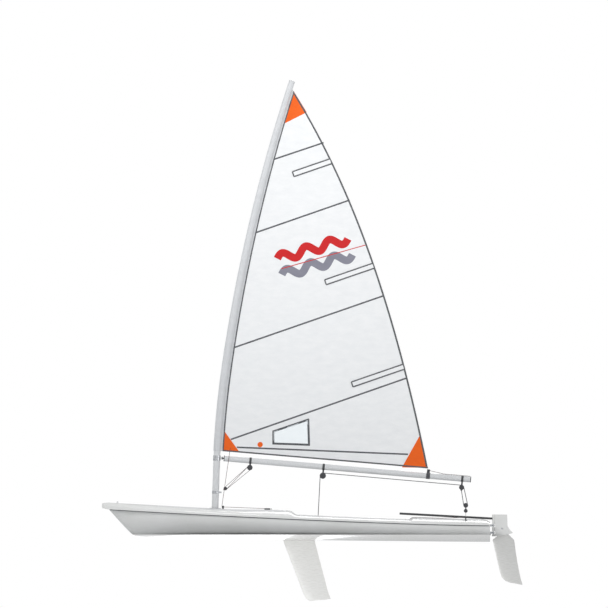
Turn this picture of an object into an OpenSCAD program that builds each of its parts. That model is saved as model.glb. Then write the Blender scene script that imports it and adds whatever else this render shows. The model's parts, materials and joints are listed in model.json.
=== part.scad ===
/* [Hull] */
// Length of the hull over the deck edge
hull_length = 4230; // [3500:10:5100]
// Greatest beam of the hull under the gunwale
hull_beam = 1342; // [1100:2:1640]
// Width of the transom at the gunwale
transom_width = 1060; // [850:2:1150]
// Overhang of the deck edge past the hull side
gunwale_lip = 14; // [8:1:25]
// Overhang of the deck edge past the stem
bow_lip = 62; // [40:1:90]
// Gunwale height above the waterline at the bow
sheer_bow = 289; // [240:1:340]
// Gunwale height above the waterline at the transom
sheer_stern = 109; // [90:1:130]
// Depth of the keel line below the waterline at the forefoot
keel_fore = 30; // [20:1:40]
// Depth of the keel line below the waterline at the transom
keel_aft = 80; // [60:1:100]

/* [Deck] */
// Height of the foredeck crown above the gunwale
fore_crown = 64; // [50:1:80]
// Extra crown where the foredeck ends at the cockpit step
step_crown = 17; // [5:1:30]
// Height of the side decks above the gunwale
side_crown = 40; // [34:1:50]
// Height of the aft deck crown above the gunwale
aft_crown = 56; // [46:1:60]
// Where the foredeck steps down, from midships
step_x = 30; // [0:1:60]

/* [Cockpit] */
// Front of the cockpit well, from midships
well_front_x = -210; // [-260:1:-200]
// Length of the cockpit well
well_length = 1030; // [850:1:1240]
// Width of the cockpit well
well_width = 640; // [500:2:760]
// Height of the cockpit sole above the waterline
sole_z = 15; // [5:1:40]
// Thickness of the cockpit liner
liner_wall = 6; // [4:0.5:10]
// Corner radius of the cockpit well
well_radius = 80; // [50:1:110]

/* [Mast] */
// Place of the mast axis at the waterline, from midships
mast_x = 892; // [820:1:1000]
// Aft lean of the lower mast, in degrees
mast_lean = 2; // [0:0.5:3]
// Diameter of the lower mast
lower_mast_d = 74; // [60:1:80]
// Diameter of the upper mast
upper_mast_d = 60; // [50:1:66]
// Wall of the mast tubes
mast_wall = 3; // [2:0.5:3]
// Length of the lower mast
lower_mast_length = 1850; // [1600:10:2200]
// Length of the mast axis from the waterline to the masthead
masthead_s = 5036; // [4300:10:5400]
// Length of the straight foot of the mast axis
straight_s = 740; // [700:10:780]
// Bend of the lower mast above its straight foot, in degrees
lower_bend = 6.1; // [2:0.1:7]
// Bend of the upper mast, in degrees for each metre
upper_bend = 3.1; // [1:0.1:3.6]

/* [Boom] */
// Diameter of the boom
boom_d = 64; // [50:1:72]
// Length of the boom with its caps
boom_length = 2705; // [2600:5:3200]
// Height of the boom axis on the mast axis
boom_s = 834; // [834:1:840]
// Downward slope of the boom towards its end, in degrees
boom_slope = 4.9; // [0:0.1:5]

/* [Sail] */
// Mast axis length where the sleeve starts
sleeve_foot_s = 912; // [905:1:960]
// Mast axis length at the head of the leech
leech_head_s = 4938; // [4200:1:4950]
// Place of the clew, from midships
clew_x = -1439; // [-1500:1:-1200]
// Height of the clew above the boom axis
clew_lift = 80; // [75:1:110]
// Depth of the sail as a share of its chord
camber = 0.045; // [0:0.005:0.08]
// Thickness of the sailcloth solid
cloth = 4; // [3:0.5:6]

/* [Rudder] */
// Distance of the rudder axis from the transom
pintle_offset = 35; // [35:1:45]
// Thickness of the rudder blade
blade_thickness = 18; // [14:1:22]
// Height of the rudder head
head_top_z = 218; // [210:1:240]
// Diameter of the tiller
tiller_d = 24; // [20:1:25]
// Length of the tiller from the rudder axis
tiller_length = 1023; // [850:1:1220]

/* [Daggerboard] */
// Place of the case on the waterline, from midships
case_x = -13; // [-16:1:10]
// Rake of the case, in degrees
case_rake = 17.5; // [15:0.5:19]
// Chord of the board in its case
board_chord = 327; // [272:1:330]
// Thickness of the board
board_thickness = 22; // [18:1:27]
// Length of the board below the waterline, along the case
board_drop = 745; // [620:1:900]

/* [Hidden] */
$fn = 48;

// Gap between a fixed fitting and the recess that it is bedded in
bed_gap = 0.1;
// Least gap between moving pieces
move_gap = 5;
// Depth that a deck fitting's foot is let into the deck
foot_depth = 8;

// Shape of the hull
transom_x = -hull_length / 2;
nose_x = hull_length / 2;
stem_x = nose_x - bow_lip;
widest_x = transom_x + 0.45 * hull_length;
half_beam = hull_beam / 2;
entry_power = 1.9;
stem_radius = 12;
nose_radius = 34;
radius_fade = 150;
sheer_power = 1.4;
forefoot_x = stem_x - 288;
stem_slope = 1.1;
forefoot_blend = 45;
deck_power = 3;
side_points = 10;
deck_points = 12;

function clamp01(t) = max(0, min(1, t));
function ease(t) = let (c = clamp01(t)) c * c * (3 - 2 * c);
function mix(a, b, t) = a + (b - a) * t;
function along_hull(x) = (x - transom_x) / hull_length;

// Half breadth of a waterline that ends at end_x with a round of radius r
function half_breadth(x, end_x, r) =
    let (u = clamp01((x - widest_x) / (end_x - widest_x)))
    let (v = clamp01((widest_x - x) / (widest_x - transom_x)))
    let (body = half_beam * (1 - pow(u, entry_power)) - (hull_beam - transom_width) / 2 * v * v)
    let (left = max(0, end_x - x))
    sqrt(body * body + 2 * r * left * exp(-left / radius_fade));
function hull_half(x) = half_breadth(x, stem_x, stem_radius);
function deck_half(x) = half_breadth(x, nose_x, nose_radius) + gunwale_lip * clamp01((nose_x - x) / 300);

function sheer_z(x) = mix(sheer_stern, sheer_bow, pow(clamp01(along_hull(x)), sheer_power));
function keel_line(x) = mix(-keel_aft, -keel_fore, pow(clamp01(along_hull(x)), 1.3));
function stem_rise(x) =
    let (d = x - forefoot_x)
    stem_slope * (sqrt(d * d + forefoot_blend * forefoot_blend) + d) / 2;
function keel_z(x) = min(sheer_z(x) - 2, keel_line(x) + stem_rise(x));

// Height of the deck crown above the gunwale: foredeck, step down, side decks, step up, aft deck, rounded transom edge
function crown(x) =
    let (fore = fore_crown + step_crown * ease((step_x + 700 - x) / 500))
    let (aft_step_x = well_front_x - well_length - 20)
    let (middle = mix(side_crown, fore, ease((x - step_x + 45) / 90)))
    let (whole = mix(aft_crown, middle, ease((x - aft_step_x + 16) / 32)))
    let (bow = 1 - 0.2 * pow(clamp01((x - nose_x + 90) / 90), 2))
    let (stern = sqrt(1 - 0.8 * pow(1 - clamp01((x - transom_x) / 90), 2)))
    whole * bow * stern;
function deck_z(x, y) = sheer_z(x) + crown(x) * pow(1 - pow(abs(y) / deck_half(x), deck_power), 1 / deck_power);

// Fullness of the sections, sharp at the bow and full aft
function fullness(x) = mix(2.7, 1.35, pow(clamp01(along_hull(x)), 2.5));

// Half of a section, from the gunwale to the keel, and the whole section as points
function hull_section(x) =
    let (b = hull_half(x), top = sheer_z(x), deep = top - keel_z(x), e = 2 / fullness(x))
    [for (i = [-side_points:side_points])
        let (a = 90 * (1 - abs(i) / side_points), side = i < 0 ? 1 : -1)
        [x, side * b * pow(cos(a), e), top - deep * pow(sin(a), e)]];
function deck_section(x) =
    let (b = deck_half(x), base = sheer_z(x), e = 2 / deck_power)
    [for (i = [-deck_points:deck_points])
        let (a = 90 * (1 - abs(i) / deck_points), side = i < 0 ? -1 : 1)
        [x, side * b * pow(cos(a), e), base + crown(x) * pow(sin(a), e)]];

// Stations of the deck, and those that the hull shares with it so that the two meet on the same faces
all_stations = concat(
    [for (d = [0, 6, 16, 34, 70]) transom_x + d],
    [for (i = [1:4]) mix(transom_x + 70, well_front_x - well_length - 40, i / 4)],
    [for (d = [-28, -16, 0]) well_front_x - well_length + d],
    [for (i = [1:7]) mix(well_front_x - well_length, step_x - 45, i / 7)],
    [for (d = [-32, -18, -6, 6, 18, 32, 45]) step_x + d],
    [for (i = [1:8]) mix(step_x + 45, nose_x - 480, i / 8)],
    [for (i = [1:10]) mix(nose_x - 480, stem_x - 1, 1 - pow(1 - i / 10, 1.4))],
    [for (i = [1:7]) mix(stem_x - 1, nose_x, 1 - pow(1 - i / 8, 1.6))],
    [nose_x - 0.5]);
hull_stations = [for (x = all_stations) if (x < stem_x - 0.5) x];

// Closed body through a row of sections that all have the same number of points
module loft(sections) {
    n = len(sections[0]);
    m = len(sections);
    polyhedron(
        points = [for (s = sections) each s],
        faces = concat(
            [for (j = [0:m - 2]) for (i = [0:n - 1])
                let (k = (i + 1) % n)
                each [[j * n + i, j * n + k, (j + 1) * n + k], [j * n + i, (j + 1) * n + k, (j + 1) * n + i]]],
            [[for (i = [n - 1:-1:0]) i]],
            [[for (i = [0:n - 1]) (m - 1) * n + i]]),
        convexity = 8);
}

// Flat outline with round corners, centred
module rounded(l, w, r) {
    square([l - 2 * r, w], center = true);
    square([l, w - 2 * r], center = true);
    for (sx = [-1, 1]) for (sy = [-1, 1]) translate([sx * (l / 2 - r), sy * (w / 2 - r)]) circle(r = r);
}

// Daggerboard case: local axes with Z up the case
module in_case() { translate([case_x, 0, 0]) rotate([0, case_rake, 0]) children(); }
slot_chord = board_chord + 2 * move_gap;
slot_width = board_thickness + 2 * move_gap;
module case_slot() {
    in_case() translate([-slot_chord / 2, -slot_width / 2, -300]) cube([slot_chord, slot_width, 900]);
}

// Recess in the deck round the mouth of the case
bay_floor_z = 180;
trim_thickness = 4;
bay_middle_x = case_x + bay_floor_z * tan(case_rake);
mouth_half = board_chord / 2 / cos(case_rake);
bay_front = mouth_half + 50;
bay_back = mouth_half + 32;
bay_half_width = slot_width / 2 + 32;
module bay() {
    translate([bay_middle_x - bay_back, -bay_half_width, bay_floor_z])
        cube([bay_back + bay_front, 2 * bay_half_width, 200]);
}

// Cockpit well
well_middle_x = well_front_x - well_length / 2;
module well(grow) {
    translate([well_middle_x, 0, sole_z - grow]) linear_extrude(height = 400)
        rounded(well_length + 2 * grow, well_width + 2 * grow, well_radius + grow);
}

// Mast axis: straight foot, bend of the lower mast and bend of the upper mast, as a point and a lean for each
// length along it
mast_foot_s = -36;
lower_top_s = mast_foot_s + lower_mast_length;
lower_bend_s = lower_top_s - straight_s;
lower_radius = lower_bend_s / (lower_bend * PI / 180);
upper_radius = 1000 / (upper_bend * PI / 180);
upper_lean = mast_lean + lower_bend;
lower_centre = [mast_x - straight_s * sin(mast_lean) - lower_radius * cos(mast_lean),
    straight_s * cos(mast_lean) - lower_radius * sin(mast_lean)];
upper_centre = lower_centre
    + (lower_radius - upper_radius) * [cos(upper_lean), sin(upper_lean)];
function lean_at(s) =
    mast_lean + lower_bend * clamp01((s - straight_s) / lower_bend_s)
    + upper_bend * max(0, s - lower_top_s) / 1000;
function mast_at(s) =
    let (a = lean_at(s))
    s <= straight_s ? [mast_x - s * sin(a), s * cos(a)]
    : s <= lower_top_s ? lower_centre + lower_radius * [cos(a), sin(a)]
    : upper_centre + upper_radius * [cos(a), sin(a)];
// Point beside the mast axis, at a distance behind it
function behind_mast(s, d) = mast_at(s) - d * [cos(lean_at(s)), sin(lean_at(s))];

// Local axes on the mast, with Z up the mast and X forward
module on_mast(s) {
    p = mast_at(s);
    translate([p[0], 0, p[1]]) rotate([0, -lean_at(s), 0]) children();
}
module ring(r_out, r_in, h) {
    difference() {
        cylinder(r = r_out, h = h);
        translate([0, 0, -1]) cylinder(r = r_in, h = h + 2);
    }
}
module bent_tube(centre, radius, s0, s1, r_out, r_in) {
    translate([centre[0], 0, centre[1]]) rotate([90, 0, 0]) rotate([0, 0, lean_at(s0)])
        rotate_extrude(angle = lean_at(s1) - lean_at(s0)) translate([radius, 0]) difference() {
            circle(r = r_out);
            circle(r = r_in);
        }
}

// Mast step
step_bottom_s = -44;
step_bore_r = lower_mast_d / 2 + 1;
step_wall = 5;
step_flange_r = step_bore_r + 24;
step_flange_h = 6;
deck_at_mast_s = deck_z(mast_x, 0) / cos(mast_lean);
module mast_step() {
    color("gainsboro") difference() {
        union() {
            on_mast(step_bottom_s) cylinder(r = step_bore_r + step_wall, h = deck_at_mast_s - step_bottom_s);
            on_mast(deck_at_mast_s - 2) cylinder(r = step_flange_r, h = step_flange_h);
        }
        on_mast(mast_foot_s - 1) cylinder(r = step_bore_r, h = 600);
    }
}
module mast_step_space() {
    on_mast(step_bottom_s - bed_gap) cylinder(r = step_bore_r + step_wall + bed_gap, h = 600);
    on_mast(deck_at_mast_s - 2 - bed_gap) cylinder(r = step_flange_r + bed_gap, h = 60);
}

// Feet of the deck fittings: name, place and size of each
cleat_x = bay_middle_x + bay_front + 48;
cleat_size = [62, 24, 15];
deck_block_x = mast_x - 96;
bow_eye_x = nose_x - 170;
traveller_x = transom_x + 265;
fairlead_y = 480 * transom_width / 1060;
fairlead_foot_r = 17;
module cleat_foot(grow) {
    translate([cleat_x - cleat_size[0] / 2 - grow, -cleat_size[1] / 2 - grow, deck_z(cleat_x, 0) - foot_depth - grow])
        cube([cleat_size[0] + 2 * grow, cleat_size[1] + 2 * grow, foot_depth + cleat_size[2] + grow]);
}
module round_foot(x, y, r, h, grow) {
    translate([x, y, deck_z(x, y) - foot_depth - grow]) cylinder(r = r + grow, h = foot_depth + h + grow);
}
module fitting_spaces() {
    cleat_foot(bed_gap);
    round_foot(deck_block_x, 0, 16, 30, bed_gap);
    round_foot(bow_eye_x, 0, 10, 30, bed_gap);
    for (side = [-1, 1]) round_foot(traveller_x, side * fairlead_y, fairlead_foot_r, 40, bed_gap);
}

drain_y = -150;
drain_z = 10;
drain_r = 11;
module hull() {
    color("white") difference() {
        loft([for (x = hull_stations) hull_section(x)]);
        well(liner_wall);
        case_slot();
        bay();
        mast_step_space();
        translate([transom_x - 1, drain_y, drain_z]) rotate([0, 90, 0]) cylinder(r = drain_r + bed_gap, h = 41);
    }
}
module deck() {
    color("white") difference() {
        loft([for (x = all_stations) deck_section(x)]);
        well(0);
        case_slot();
        bay();
        mast_step_space();
        fitting_spaces();
    }
}
module cockpit_liner() {
    color("whitesmoke") difference() {
        intersection() {
            well(liner_wall);
            loft([for (x = hull_stations) hull_section(x)]);
        }
        well(0);
    }
}
module case_trim() {
    color("gainsboro") difference() {
        translate([bay_middle_x - bay_back + 2, -bay_half_width + 2, bay_floor_z])
            cube([bay_back + bay_front - 4, 2 * bay_half_width - 4, trim_thickness]);
        case_slot();
    }
}
module control_cleat() {
    groove = 10;
    color("dimgray") difference() {
        cleat_foot(0);
        translate([cleat_x - 60, 0, deck_z(cleat_x, 0) + cleat_size[2]]) rotate([0, 90, 0])
            cylinder(r = groove, h = 120, $fn = 4);
    }
}

// Block with two cheeks, a sheave, a pin and a head, its axle along Y and its head up
module block(r, w) {
    cheek = 3;
    for (y = [-w / 2, w / 2 - cheek]) translate([0, y + cheek, 0]) rotate([90, 0, 0]) cylinder(r = r, h = cheek);
    translate([0, w / 2 - cheek, 0]) rotate([90, 0, 0]) cylinder(r = r - 4, h = w - 2 * cheek);
    translate([-7, -w / 2, r - 6]) cube([14, w, 12]);
}
module deck_block() {
    r = 14;
    color("dimgray") {
        round_foot(deck_block_x, 0, 16, 2, 0);
        translate([deck_block_x, 0, deck_z(deck_block_x, 0) + 2 + r + 5]) mirror([0, 0, 1]) block(r, 14);
    }
}
bow_eye_hole_r = 5;
module bow_eye() {
    color("silver") difference() {
        union() {
            round_foot(bow_eye_x, 0, 10, 2, 0);
            translate([bow_eye_x, 4, deck_z(bow_eye_x, 0) + 8]) rotate([90, 0, 0]) cylinder(r = 10, h = 8);
        }
        translate([bow_eye_x, 20, deck_z(bow_eye_x, 0) + 8]) rotate([90, 0, 0]) cylinder(r = bow_eye_hole_r, h = 40);
    }
}

// Grab rails on the long walls of the well
rail_length = 700;
rail_z = 138;
rail_size = [20, 26];
rail_standoff = 26;
module grab_rail(side) {
    feet = 4;
    pitch = (rail_length - 40) / (feet - 1);
    inner = well_width / 2 - rail_standoff - rail_size[0];
    color("burlywood") mirror([0, side < 0 ? 1 : 0, 0]) translate([well_middle_x - rail_length / 2, 0, 0]) {
        translate([0, inner, rail_z - rail_size[1] / 2]) cube([rail_length, rail_size[0], rail_size[1]]);
        for (i = [0:feet - 1]) translate([i * pitch, inner + rail_size[0], rail_z - 10])
            cube([40, rail_standoff, 20]);
    }
}
module grab_rail_port() { grab_rail(1); }
module grab_rail_starboard() { grab_rail(-1); }

// Toe strap along the middle of the well
strap_width = 50;
strap_front_z = 70;
strap_back_z = 92;
strap_thickness = 4;
module toe_strap() {
    back_x = well_front_x - well_length;
    color("dimgray") translate([0, strap_width / 2, 0]) rotate([90, 0, 0]) linear_extrude(height = strap_width)
        polygon([[back_x, strap_back_z], [well_front_x, strap_front_z],
            [well_front_x, strap_front_z + strap_thickness], [back_x, strap_back_z + strap_thickness]]);
}

// Stand for the block at the front of the well
bracket_z = 122;
ratchet_x = well_front_x - 52;
ratchet_r = 27;
module block_bracket() {
    color("silver") {
        translate([well_front_x - 84, -26, bracket_z]) cube([84, 52, 5]);
        translate([well_front_x - 5, -26, bracket_z - 35]) cube([5, 52, 35]);
        translate([ratchet_x, 0, bracket_z + 5]) cylinder(r = 8, h = 6);
    }
}
module ratchet_block() {
    color("dimgray") translate([ratchet_x, 0, bracket_z + 11 + ratchet_r + 6]) mirror([0, 0, 1]) block(ratchet_r, 26);
}

// Traveller: an eye on each side of the aft deck, a cleat in the well, and two blocks over the tiller
fairlead_hole_r = 5;
fairlead_eye_r = 11;
fairlead_rise = 31;
fairlead_tilt = 8;
module fairlead(side) {
    y = side * fairlead_y;
    z = deck_z(traveller_x, y);
    color("dimgray") difference() {
        union() {
            round_foot(traveller_x, y, fairlead_foot_r, 3, 0);
            translate([traveller_x, y, z]) cylinder(r = 6, h = fairlead_rise - 8);
            translate([traveller_x, y, z + fairlead_rise]) rotate([90 - side * fairlead_tilt, 0, 0])
                translate([0, 0, -5]) cylinder(r = fairlead_eye_r, h = 10);
        }
        translate([traveller_x, y, z + fairlead_rise]) rotate([90 - side * fairlead_tilt, 0, 0])
            translate([0, 0, -20]) cylinder(r = fairlead_hole_r, h = 40);
    }
}
module fairlead_port() { fairlead(1); }
module fairlead_starboard() { fairlead(-1); }
module traveller_cleat() {
    color("dimgray") translate([well_front_x - well_length, -13, 105]) difference() {
        cube([24, 26, 62]);
        translate([24, 13, -1]) cylinder(r = 9, h = 70, $fn = 4);
    }
}
traveller_block_z = 258;
traveller_block_r = 21;
lower_block_r = 26;
module traveller_block() {
    color("dimgray") translate([traveller_x, 0, traveller_block_z]) block(traveller_block_r, 22);
}
module lower_sheet_block() {
    color("dimgray") translate([traveller_x, 0, traveller_block_z + traveller_block_r + 6 + 6 + lower_block_r + 1])
        mirror([0, 0, 1]) block(lower_block_r, 34);
}
module self_bailer() {
    color("silver") translate([well_front_x - well_length + 160, 0, sole_z]) difference() {
        linear_extrude(height = 4) rounded(110, 56, 12);
        translate([0, 0, 1]) linear_extrude(height = 4) rounded(70, 30, 6);
    }
}
module drain_plug() {
    color("dimgray") translate([transom_x, drain_y, drain_z]) rotate([0, 90, 0]) {
        cylinder(r = drain_r, h = 24);
        translate([0, 0, -6]) cylinder(r = drain_r + 8, h = 6);
    }
}

// Rudder hangings on a vertical axis behind the transom
axis_x = transom_x - pintle_offset;
eye_r = 14;
eye_height = 24;
pin_r = 4.8;
eye_bore_r = 5.1;
upper_eye_z = 99;
lower_eye_z = 20;
module gudgeon(z) {
    color("silver") difference() {
        union() {
            translate([transom_x - 4, -30, z - eye_height / 2]) cube([4, 60, eye_height]);
            translate([axis_x, -6, z - eye_height / 2]) cube([pintle_offset - 3, 12, eye_height]);
            translate([axis_x, 0, z - eye_height / 2]) cylinder(r = eye_r, h = eye_height);
        }
        translate([axis_x, 0, z - eye_height]) cylinder(r = eye_bore_r, h = 2 * eye_height);
    }
}
module gudgeon_upper() { gudgeon(upper_eye_z); }
module gudgeon_lower() { gudgeon(lower_eye_z); }

// Lower and upper mast, joined by a spigot inside the lower one
lower_r = lower_mast_d / 2;
upper_r = upper_mast_d / 2;
// Swage band that joins the straight foot to the bent tube
band_reach = 9;
band_proud = 1;
module lower_mast() {
    inner = lower_r - mast_wall;
    color("whitesmoke") {
        on_mast(mast_foot_s) ring(lower_r, inner, straight_s - band_reach / 3 - mast_foot_s);
        on_mast(straight_s - band_reach) ring(lower_r + band_proud, inner - band_proud, 2 * band_reach);
        bent_tube(lower_centre, lower_radius, straight_s, lower_top_s, lower_r, inner);
    }
}
module upper_mast() {
    color("whitesmoke")
        bent_tube(upper_centre, upper_radius, lower_top_s, masthead_s, upper_r, upper_r - mast_wall);
}
spigot_length = 260;
spigot_wall = 6;
module mast_spigot() {
    outside = lower_r - mast_wall - bed_gap;
    color("dimgray") bent_tube(lower_centre, lower_radius, lower_top_s - spigot_length, lower_top_s,
        outside, outside - spigot_wall);
}

// Boom and what it hangs on
boom_r = boom_d / 2;
boom_gap = 38;
boom_wall = 2.5;
boom_cap = 8;
boom_front = behind_mast(boom_s, lower_r + boom_gap);
function boom_point(d) = boom_front - d * [cos(boom_slope), sin(boom_slope)];
module on_boom(d) {
    p = boom_point(d);
    translate([p[0], 0, p[1]]) rotate([0, -boom_slope, 0]) children();
}
module boom_ring(d, r_out, r_in, length) {
    on_boom(d + length) rotate([0, 90, 0]) ring(r_out, r_in, length);
}
tongue = 26;
gooseneck_pin_r = 5;
module gooseneck() {
    color("silver") {
        on_mast(boom_s) translate([0, 0, -28]) ring(lower_r + 4, lower_r + bed_gap, 56);
        on_mast(boom_s) {
            for (z = [-14, 10]) translate([-lower_r - 30, -10, z]) cube([28, 20, 4]);
            translate([-lower_r - 22, 0, -18]) cylinder(r = gooseneck_pin_r, h = 36);
        }
    }
}
module boom() {
    color("white") boom_ring(boom_cap, boom_r, boom_r - boom_wall, boom_length - 2 * boom_cap);
}
module boom_caps() {
    plug_r = boom_r - boom_wall - bed_gap;
    color("dimgray") {
        on_boom(0) difference() {
            union() {
                translate([-boom_cap, 0, 0]) rotate([0, 90, 0]) cylinder(r = boom_r, h = boom_cap);
                translate([-40, 0, 0]) rotate([0, 90, 0]) cylinder(r = plug_r, h = 40);
                translate([-2, -8, -8]) cube([tongue + 2, 16, 16]);
            }
            translate([boom_gap - 22, 0, -20]) cylinder(r = gooseneck_pin_r + 1, h = 40);
        }
        on_boom(boom_length) {
            rotate([0, 90, 0]) cylinder(r = boom_r, h = boom_cap);
            rotate([0, 90, 0]) cylinder(r = plug_r, h = 40);
        }
    }
}

// Block that hangs under the boom on a strap and a band
module boom_block(d, drop, r, w) {
    band = 24;
    color("dimgray") {
        boom_ring(d - band / 2, boom_r + 3, boom_r + bed_gap, band);
        on_boom(d) translate([0, 0, -drop]) {
            block(r, w);
            translate([-9, -4, r]) cube([18, 8, drop - boom_r - r - 1]);
        }
    }
}
vang_boom_d = 292;
middle_block_d = 1092;
end_block_d = 2610;
module vang_upper_block() { boom_block(vang_boom_d, 76, 30, 26); }
module boom_middle_block() { boom_block(middle_block_d, 96, 34, 28); }
module boom_end_block() { boom_block(end_block_d, 94, 28, 26); }

// Band and block at the foot of the vang
vang_s = 462;
vang_block_distance = 92;
vang_r = 20;
module vang_band() {
    color("silver") {
        on_mast(vang_s - 14) ring(lower_r + 3, lower_r + bed_gap, 28);
        on_mast(vang_s) translate([-lower_r - 28, -5, -9]) cube([27, 10, 18]);
    }
}
// The vang runs from its band to the block under the boom
vang_foot = behind_mast(vang_s, lower_r + 20);
vang_top = boom_point(vang_boom_d) - 76 * [-sin(boom_slope), cos(boom_slope)];
vang_line = vang_top - vang_foot;
vang_tilt = atan2(vang_line[0], vang_line[1]);
module vang_lower_block() {
    color("dimgray") translate([vang_foot[0], 0, vang_foot[1]]) rotate([0, vang_tilt, 0])
        translate([0, 0, 64]) mirror([0, 0, 1]) block(vang_r, 24);
}
module clew_strap() {
    d = (boom_front[0] - clew_x) / cos(boom_slope);
    color("dimgray") {
        boom_ring(d - 20, boom_r + 3, boom_r + bed_gap, 40);
        on_boom(d) translate([-16, -3, boom_r + 1]) cube([32, 6, clew_lift - boom_r - 10]);
    }
}

// Sail: sleeve round the mast, cloth from the sleeve to the leech
sleeve_cloth = 2.5;
sleeve_clear = 2.5;
sleeve_sides = 20;
sleeve_steps = 24;
function sleeve_r(s) =
    mix(lower_r + sleeve_cloth + sleeve_clear, upper_r + sleeve_cloth + 1.5, clamp01((s - 1900) / 3000));
function sleeve_section(s, shrink) =
    let (p = mast_at(s), a = lean_at(s), r = sleeve_r(s) - shrink)
    [for (i = [0:sleeve_sides - 1])
        let (t = 360 * i / sleeve_sides)
        [p[0] + r * cos(t) * cos(a), -r * sin(t), p[1] + r * cos(t) * sin(a)]];
module sleeve_body(s0, s1, shrink) {
    loft([for (i = [0:sleeve_steps]) sleeve_section(mix(s0, s1, i / sleeve_steps), shrink)]);
}
module luff_sleeve() {
    color("white") difference() {
        sleeve_body(sleeve_foot_s, masthead_s + 6, 0);
        sleeve_body(sleeve_foot_s - 10, masthead_s + 2, sleeve_cloth);
    }
}

clew_d = (boom_front[0] - clew_x) / cos(boom_slope);
clew = [clew_x, boom_point(clew_d)[1] + clew_lift];
head = behind_mast(leech_head_s, sleeve_r(leech_head_s) + 12);
leech_handle = 1450;
leech_foot_way = [0.2, 0.98];
leech_head_way = [-0.528, -0.849];
function bezier(a, b, c, d, t) =
    pow(1 - t, 3) * a + 3 * t * pow(1 - t, 2) * b + 3 * t * t * (1 - t) * c + pow(t, 3) * d;
function leech(v) =
    bezier(clew, clew + leech_handle * leech_foot_way, head + leech_handle * leech_head_way, head, v);
function luff(v) =
    let (s = mix(sleeve_foot_s, leech_head_s, v))
    behind_mast(s, sleeve_r(s) + 0.3);
sail_across = 10;
sail_up = 26;
function sail_point(u, v, off) =
    let (a = luff(v), b = leech(v), p = mix(a, b, u))
    [p[0], off - camber * norm(b - a) * sin(180 * pow(u, 0.8)), p[1]];
module sail_layer(lo, hi) {
    loft([for (j = [0:sail_up]) let (v = j / sail_up) concat(
        [for (i = [0:sail_across]) sail_point(i / sail_across, v, lo)],
        [for (i = [sail_across:-1:0]) sail_point(i / sail_across, v, hi)])]);
}
// Upright prism through the sail
module through_sail(outline) {
    translate([0, 300, 0]) rotate([90, 0, 0]) linear_extrude(height = 600) polygon(outline);
}
window_width = 380;
window_height = 200;
window_corner = [247, 992];
function window_outline(inset) =
    let (c = window_corner)
    [[c[0] - inset, c[1] + inset], [c[0] - inset, c[1] + 132 - inset],
        [c[0] - window_width + inset, c[1] + 60 + window_height - inset],
        [c[0] - window_width - 8 + inset, c[1] - 14 + inset]];
module sail() {
    color("white") difference() {
        sail_layer(-cloth / 2, cloth / 2);
        through_sail(window_outline(0));
    }
}
module sail_window() {
    color("lightblue") intersection() {
        sail_layer(-0.75, 0.75);
        through_sail(window_outline(1));
    }
}
batten_width = 56;
batten_tilt = 19;
module batten(v, length) {
    end = leech(v);
    way = [cos(batten_tilt), -sin(batten_tilt)];
    across = [sin(batten_tilt), cos(batten_tilt)] * batten_width / 2;
    color("gainsboro") intersection() {
        sail_layer(cloth / 2 + bed_gap, cloth / 2 + 3);
        through_sail([end + across, end - across, end - across + length * way, end + across + length * way]);
    }
}
module batten_top() { batten(0.8, 430); }
module batten_middle() { batten(0.52, 550); }
module batten_bottom() { batten(0.26, 590); }

// Rudder head, hung on the axis behind the transom
cheek_half = blade_thickness / 2 + move_gap + 1 + 10;
slot_half = blade_thickness / 2 + move_gap + 1;
slot_front = -34;
slot_top_z = 138;
blade_pivot = [-97, 66];
head_bottom_z = -20;
tiller_z = 174;
tiller_rise = 3.1;
tiller_tail = 110;
bolt_r = 5;
module on_axis() { translate([axis_x, 0, 0]) children(); }
module tiller_rod(grow, forward, back) {
    on_axis() translate([0, 0, tiller_z]) rotate([0, 90 - tiller_rise, 0]) translate([0, 0, -back])
        cylinder(r = tiller_d / 2 + grow, h = forward + back);
}
module rudder_head() {
    reach = eye_r + move_gap;
    color("white") difference() {
        on_axis() difference() {
            union() {
                translate([0, 0, head_bottom_z]) cylinder(r = eye_r, h = head_top_z - head_bottom_z);
                translate([-30, -eye_r, head_bottom_z]) cube([30, 2 * eye_r, head_top_z - head_bottom_z]);
                translate([0, cheek_half, 0]) rotate([90, 0, 0]) linear_extrude(height = 2 * cheek_half)
                    polygon([[-18, head_top_z], [-151, head_top_z], [-156, 93], [-184, 49], [-216, 16],
                        [-120, -8], [-18, head_bottom_z]]);
            }
            translate([-400, -slot_half, -100]) cube([400 + slot_front, 2 * slot_half, 100 + slot_top_z]);
            for (z = [upper_eye_z, lower_eye_z])
                translate([-reach, -50, z - eye_height / 2 - move_gap])
                    cube([60, 100, eye_height + 2 * move_gap]);
            for (z = [upper_eye_z, lower_eye_z])
                translate([0, 0, z - eye_height / 2 - 15]) cylinder(r = pin_r + bed_gap, h = eye_height + 30);
            translate([blade_pivot[0], 50, blade_pivot[1]]) rotate([90, 0, 0])
                cylinder(r = bolt_r + bed_gap, h = 100);
        }
        tiller_rod(bed_gap, 200, tiller_tail + bed_gap);
    }
}
module pintles() {
    color("silver") on_axis() for (z = [upper_eye_z, lower_eye_z])
        translate([0, 0, z - eye_height / 2 - 15]) cylinder(r = pin_r, h = eye_height + 30);
}
tiller_hole_r = 3.2;
module tiller() {
    color("white") difference() {
        tiller_rod(0, tiller_length, tiller_tail);
        on_axis() translate([0, 0, tiller_z]) rotate([0, -tiller_rise, 0])
            translate([tiller_length - 40, 0, -50]) cylinder(r = tiller_hole_r, h = 100);
    }
}
module blade_bolt() {
    color("silver") on_axis() translate([blade_pivot[0], 0, blade_pivot[1]]) rotate([90, 0, 0]) {
        translate([0, 0, -cheek_half]) cylinder(r = bolt_r, h = 2 * cheek_half);
        for (z = [-cheek_half - 4, cheek_half]) translate([0, 0, z]) cylinder(r = 9, h = 4);
    }
}
blade_r = 54;
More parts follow.
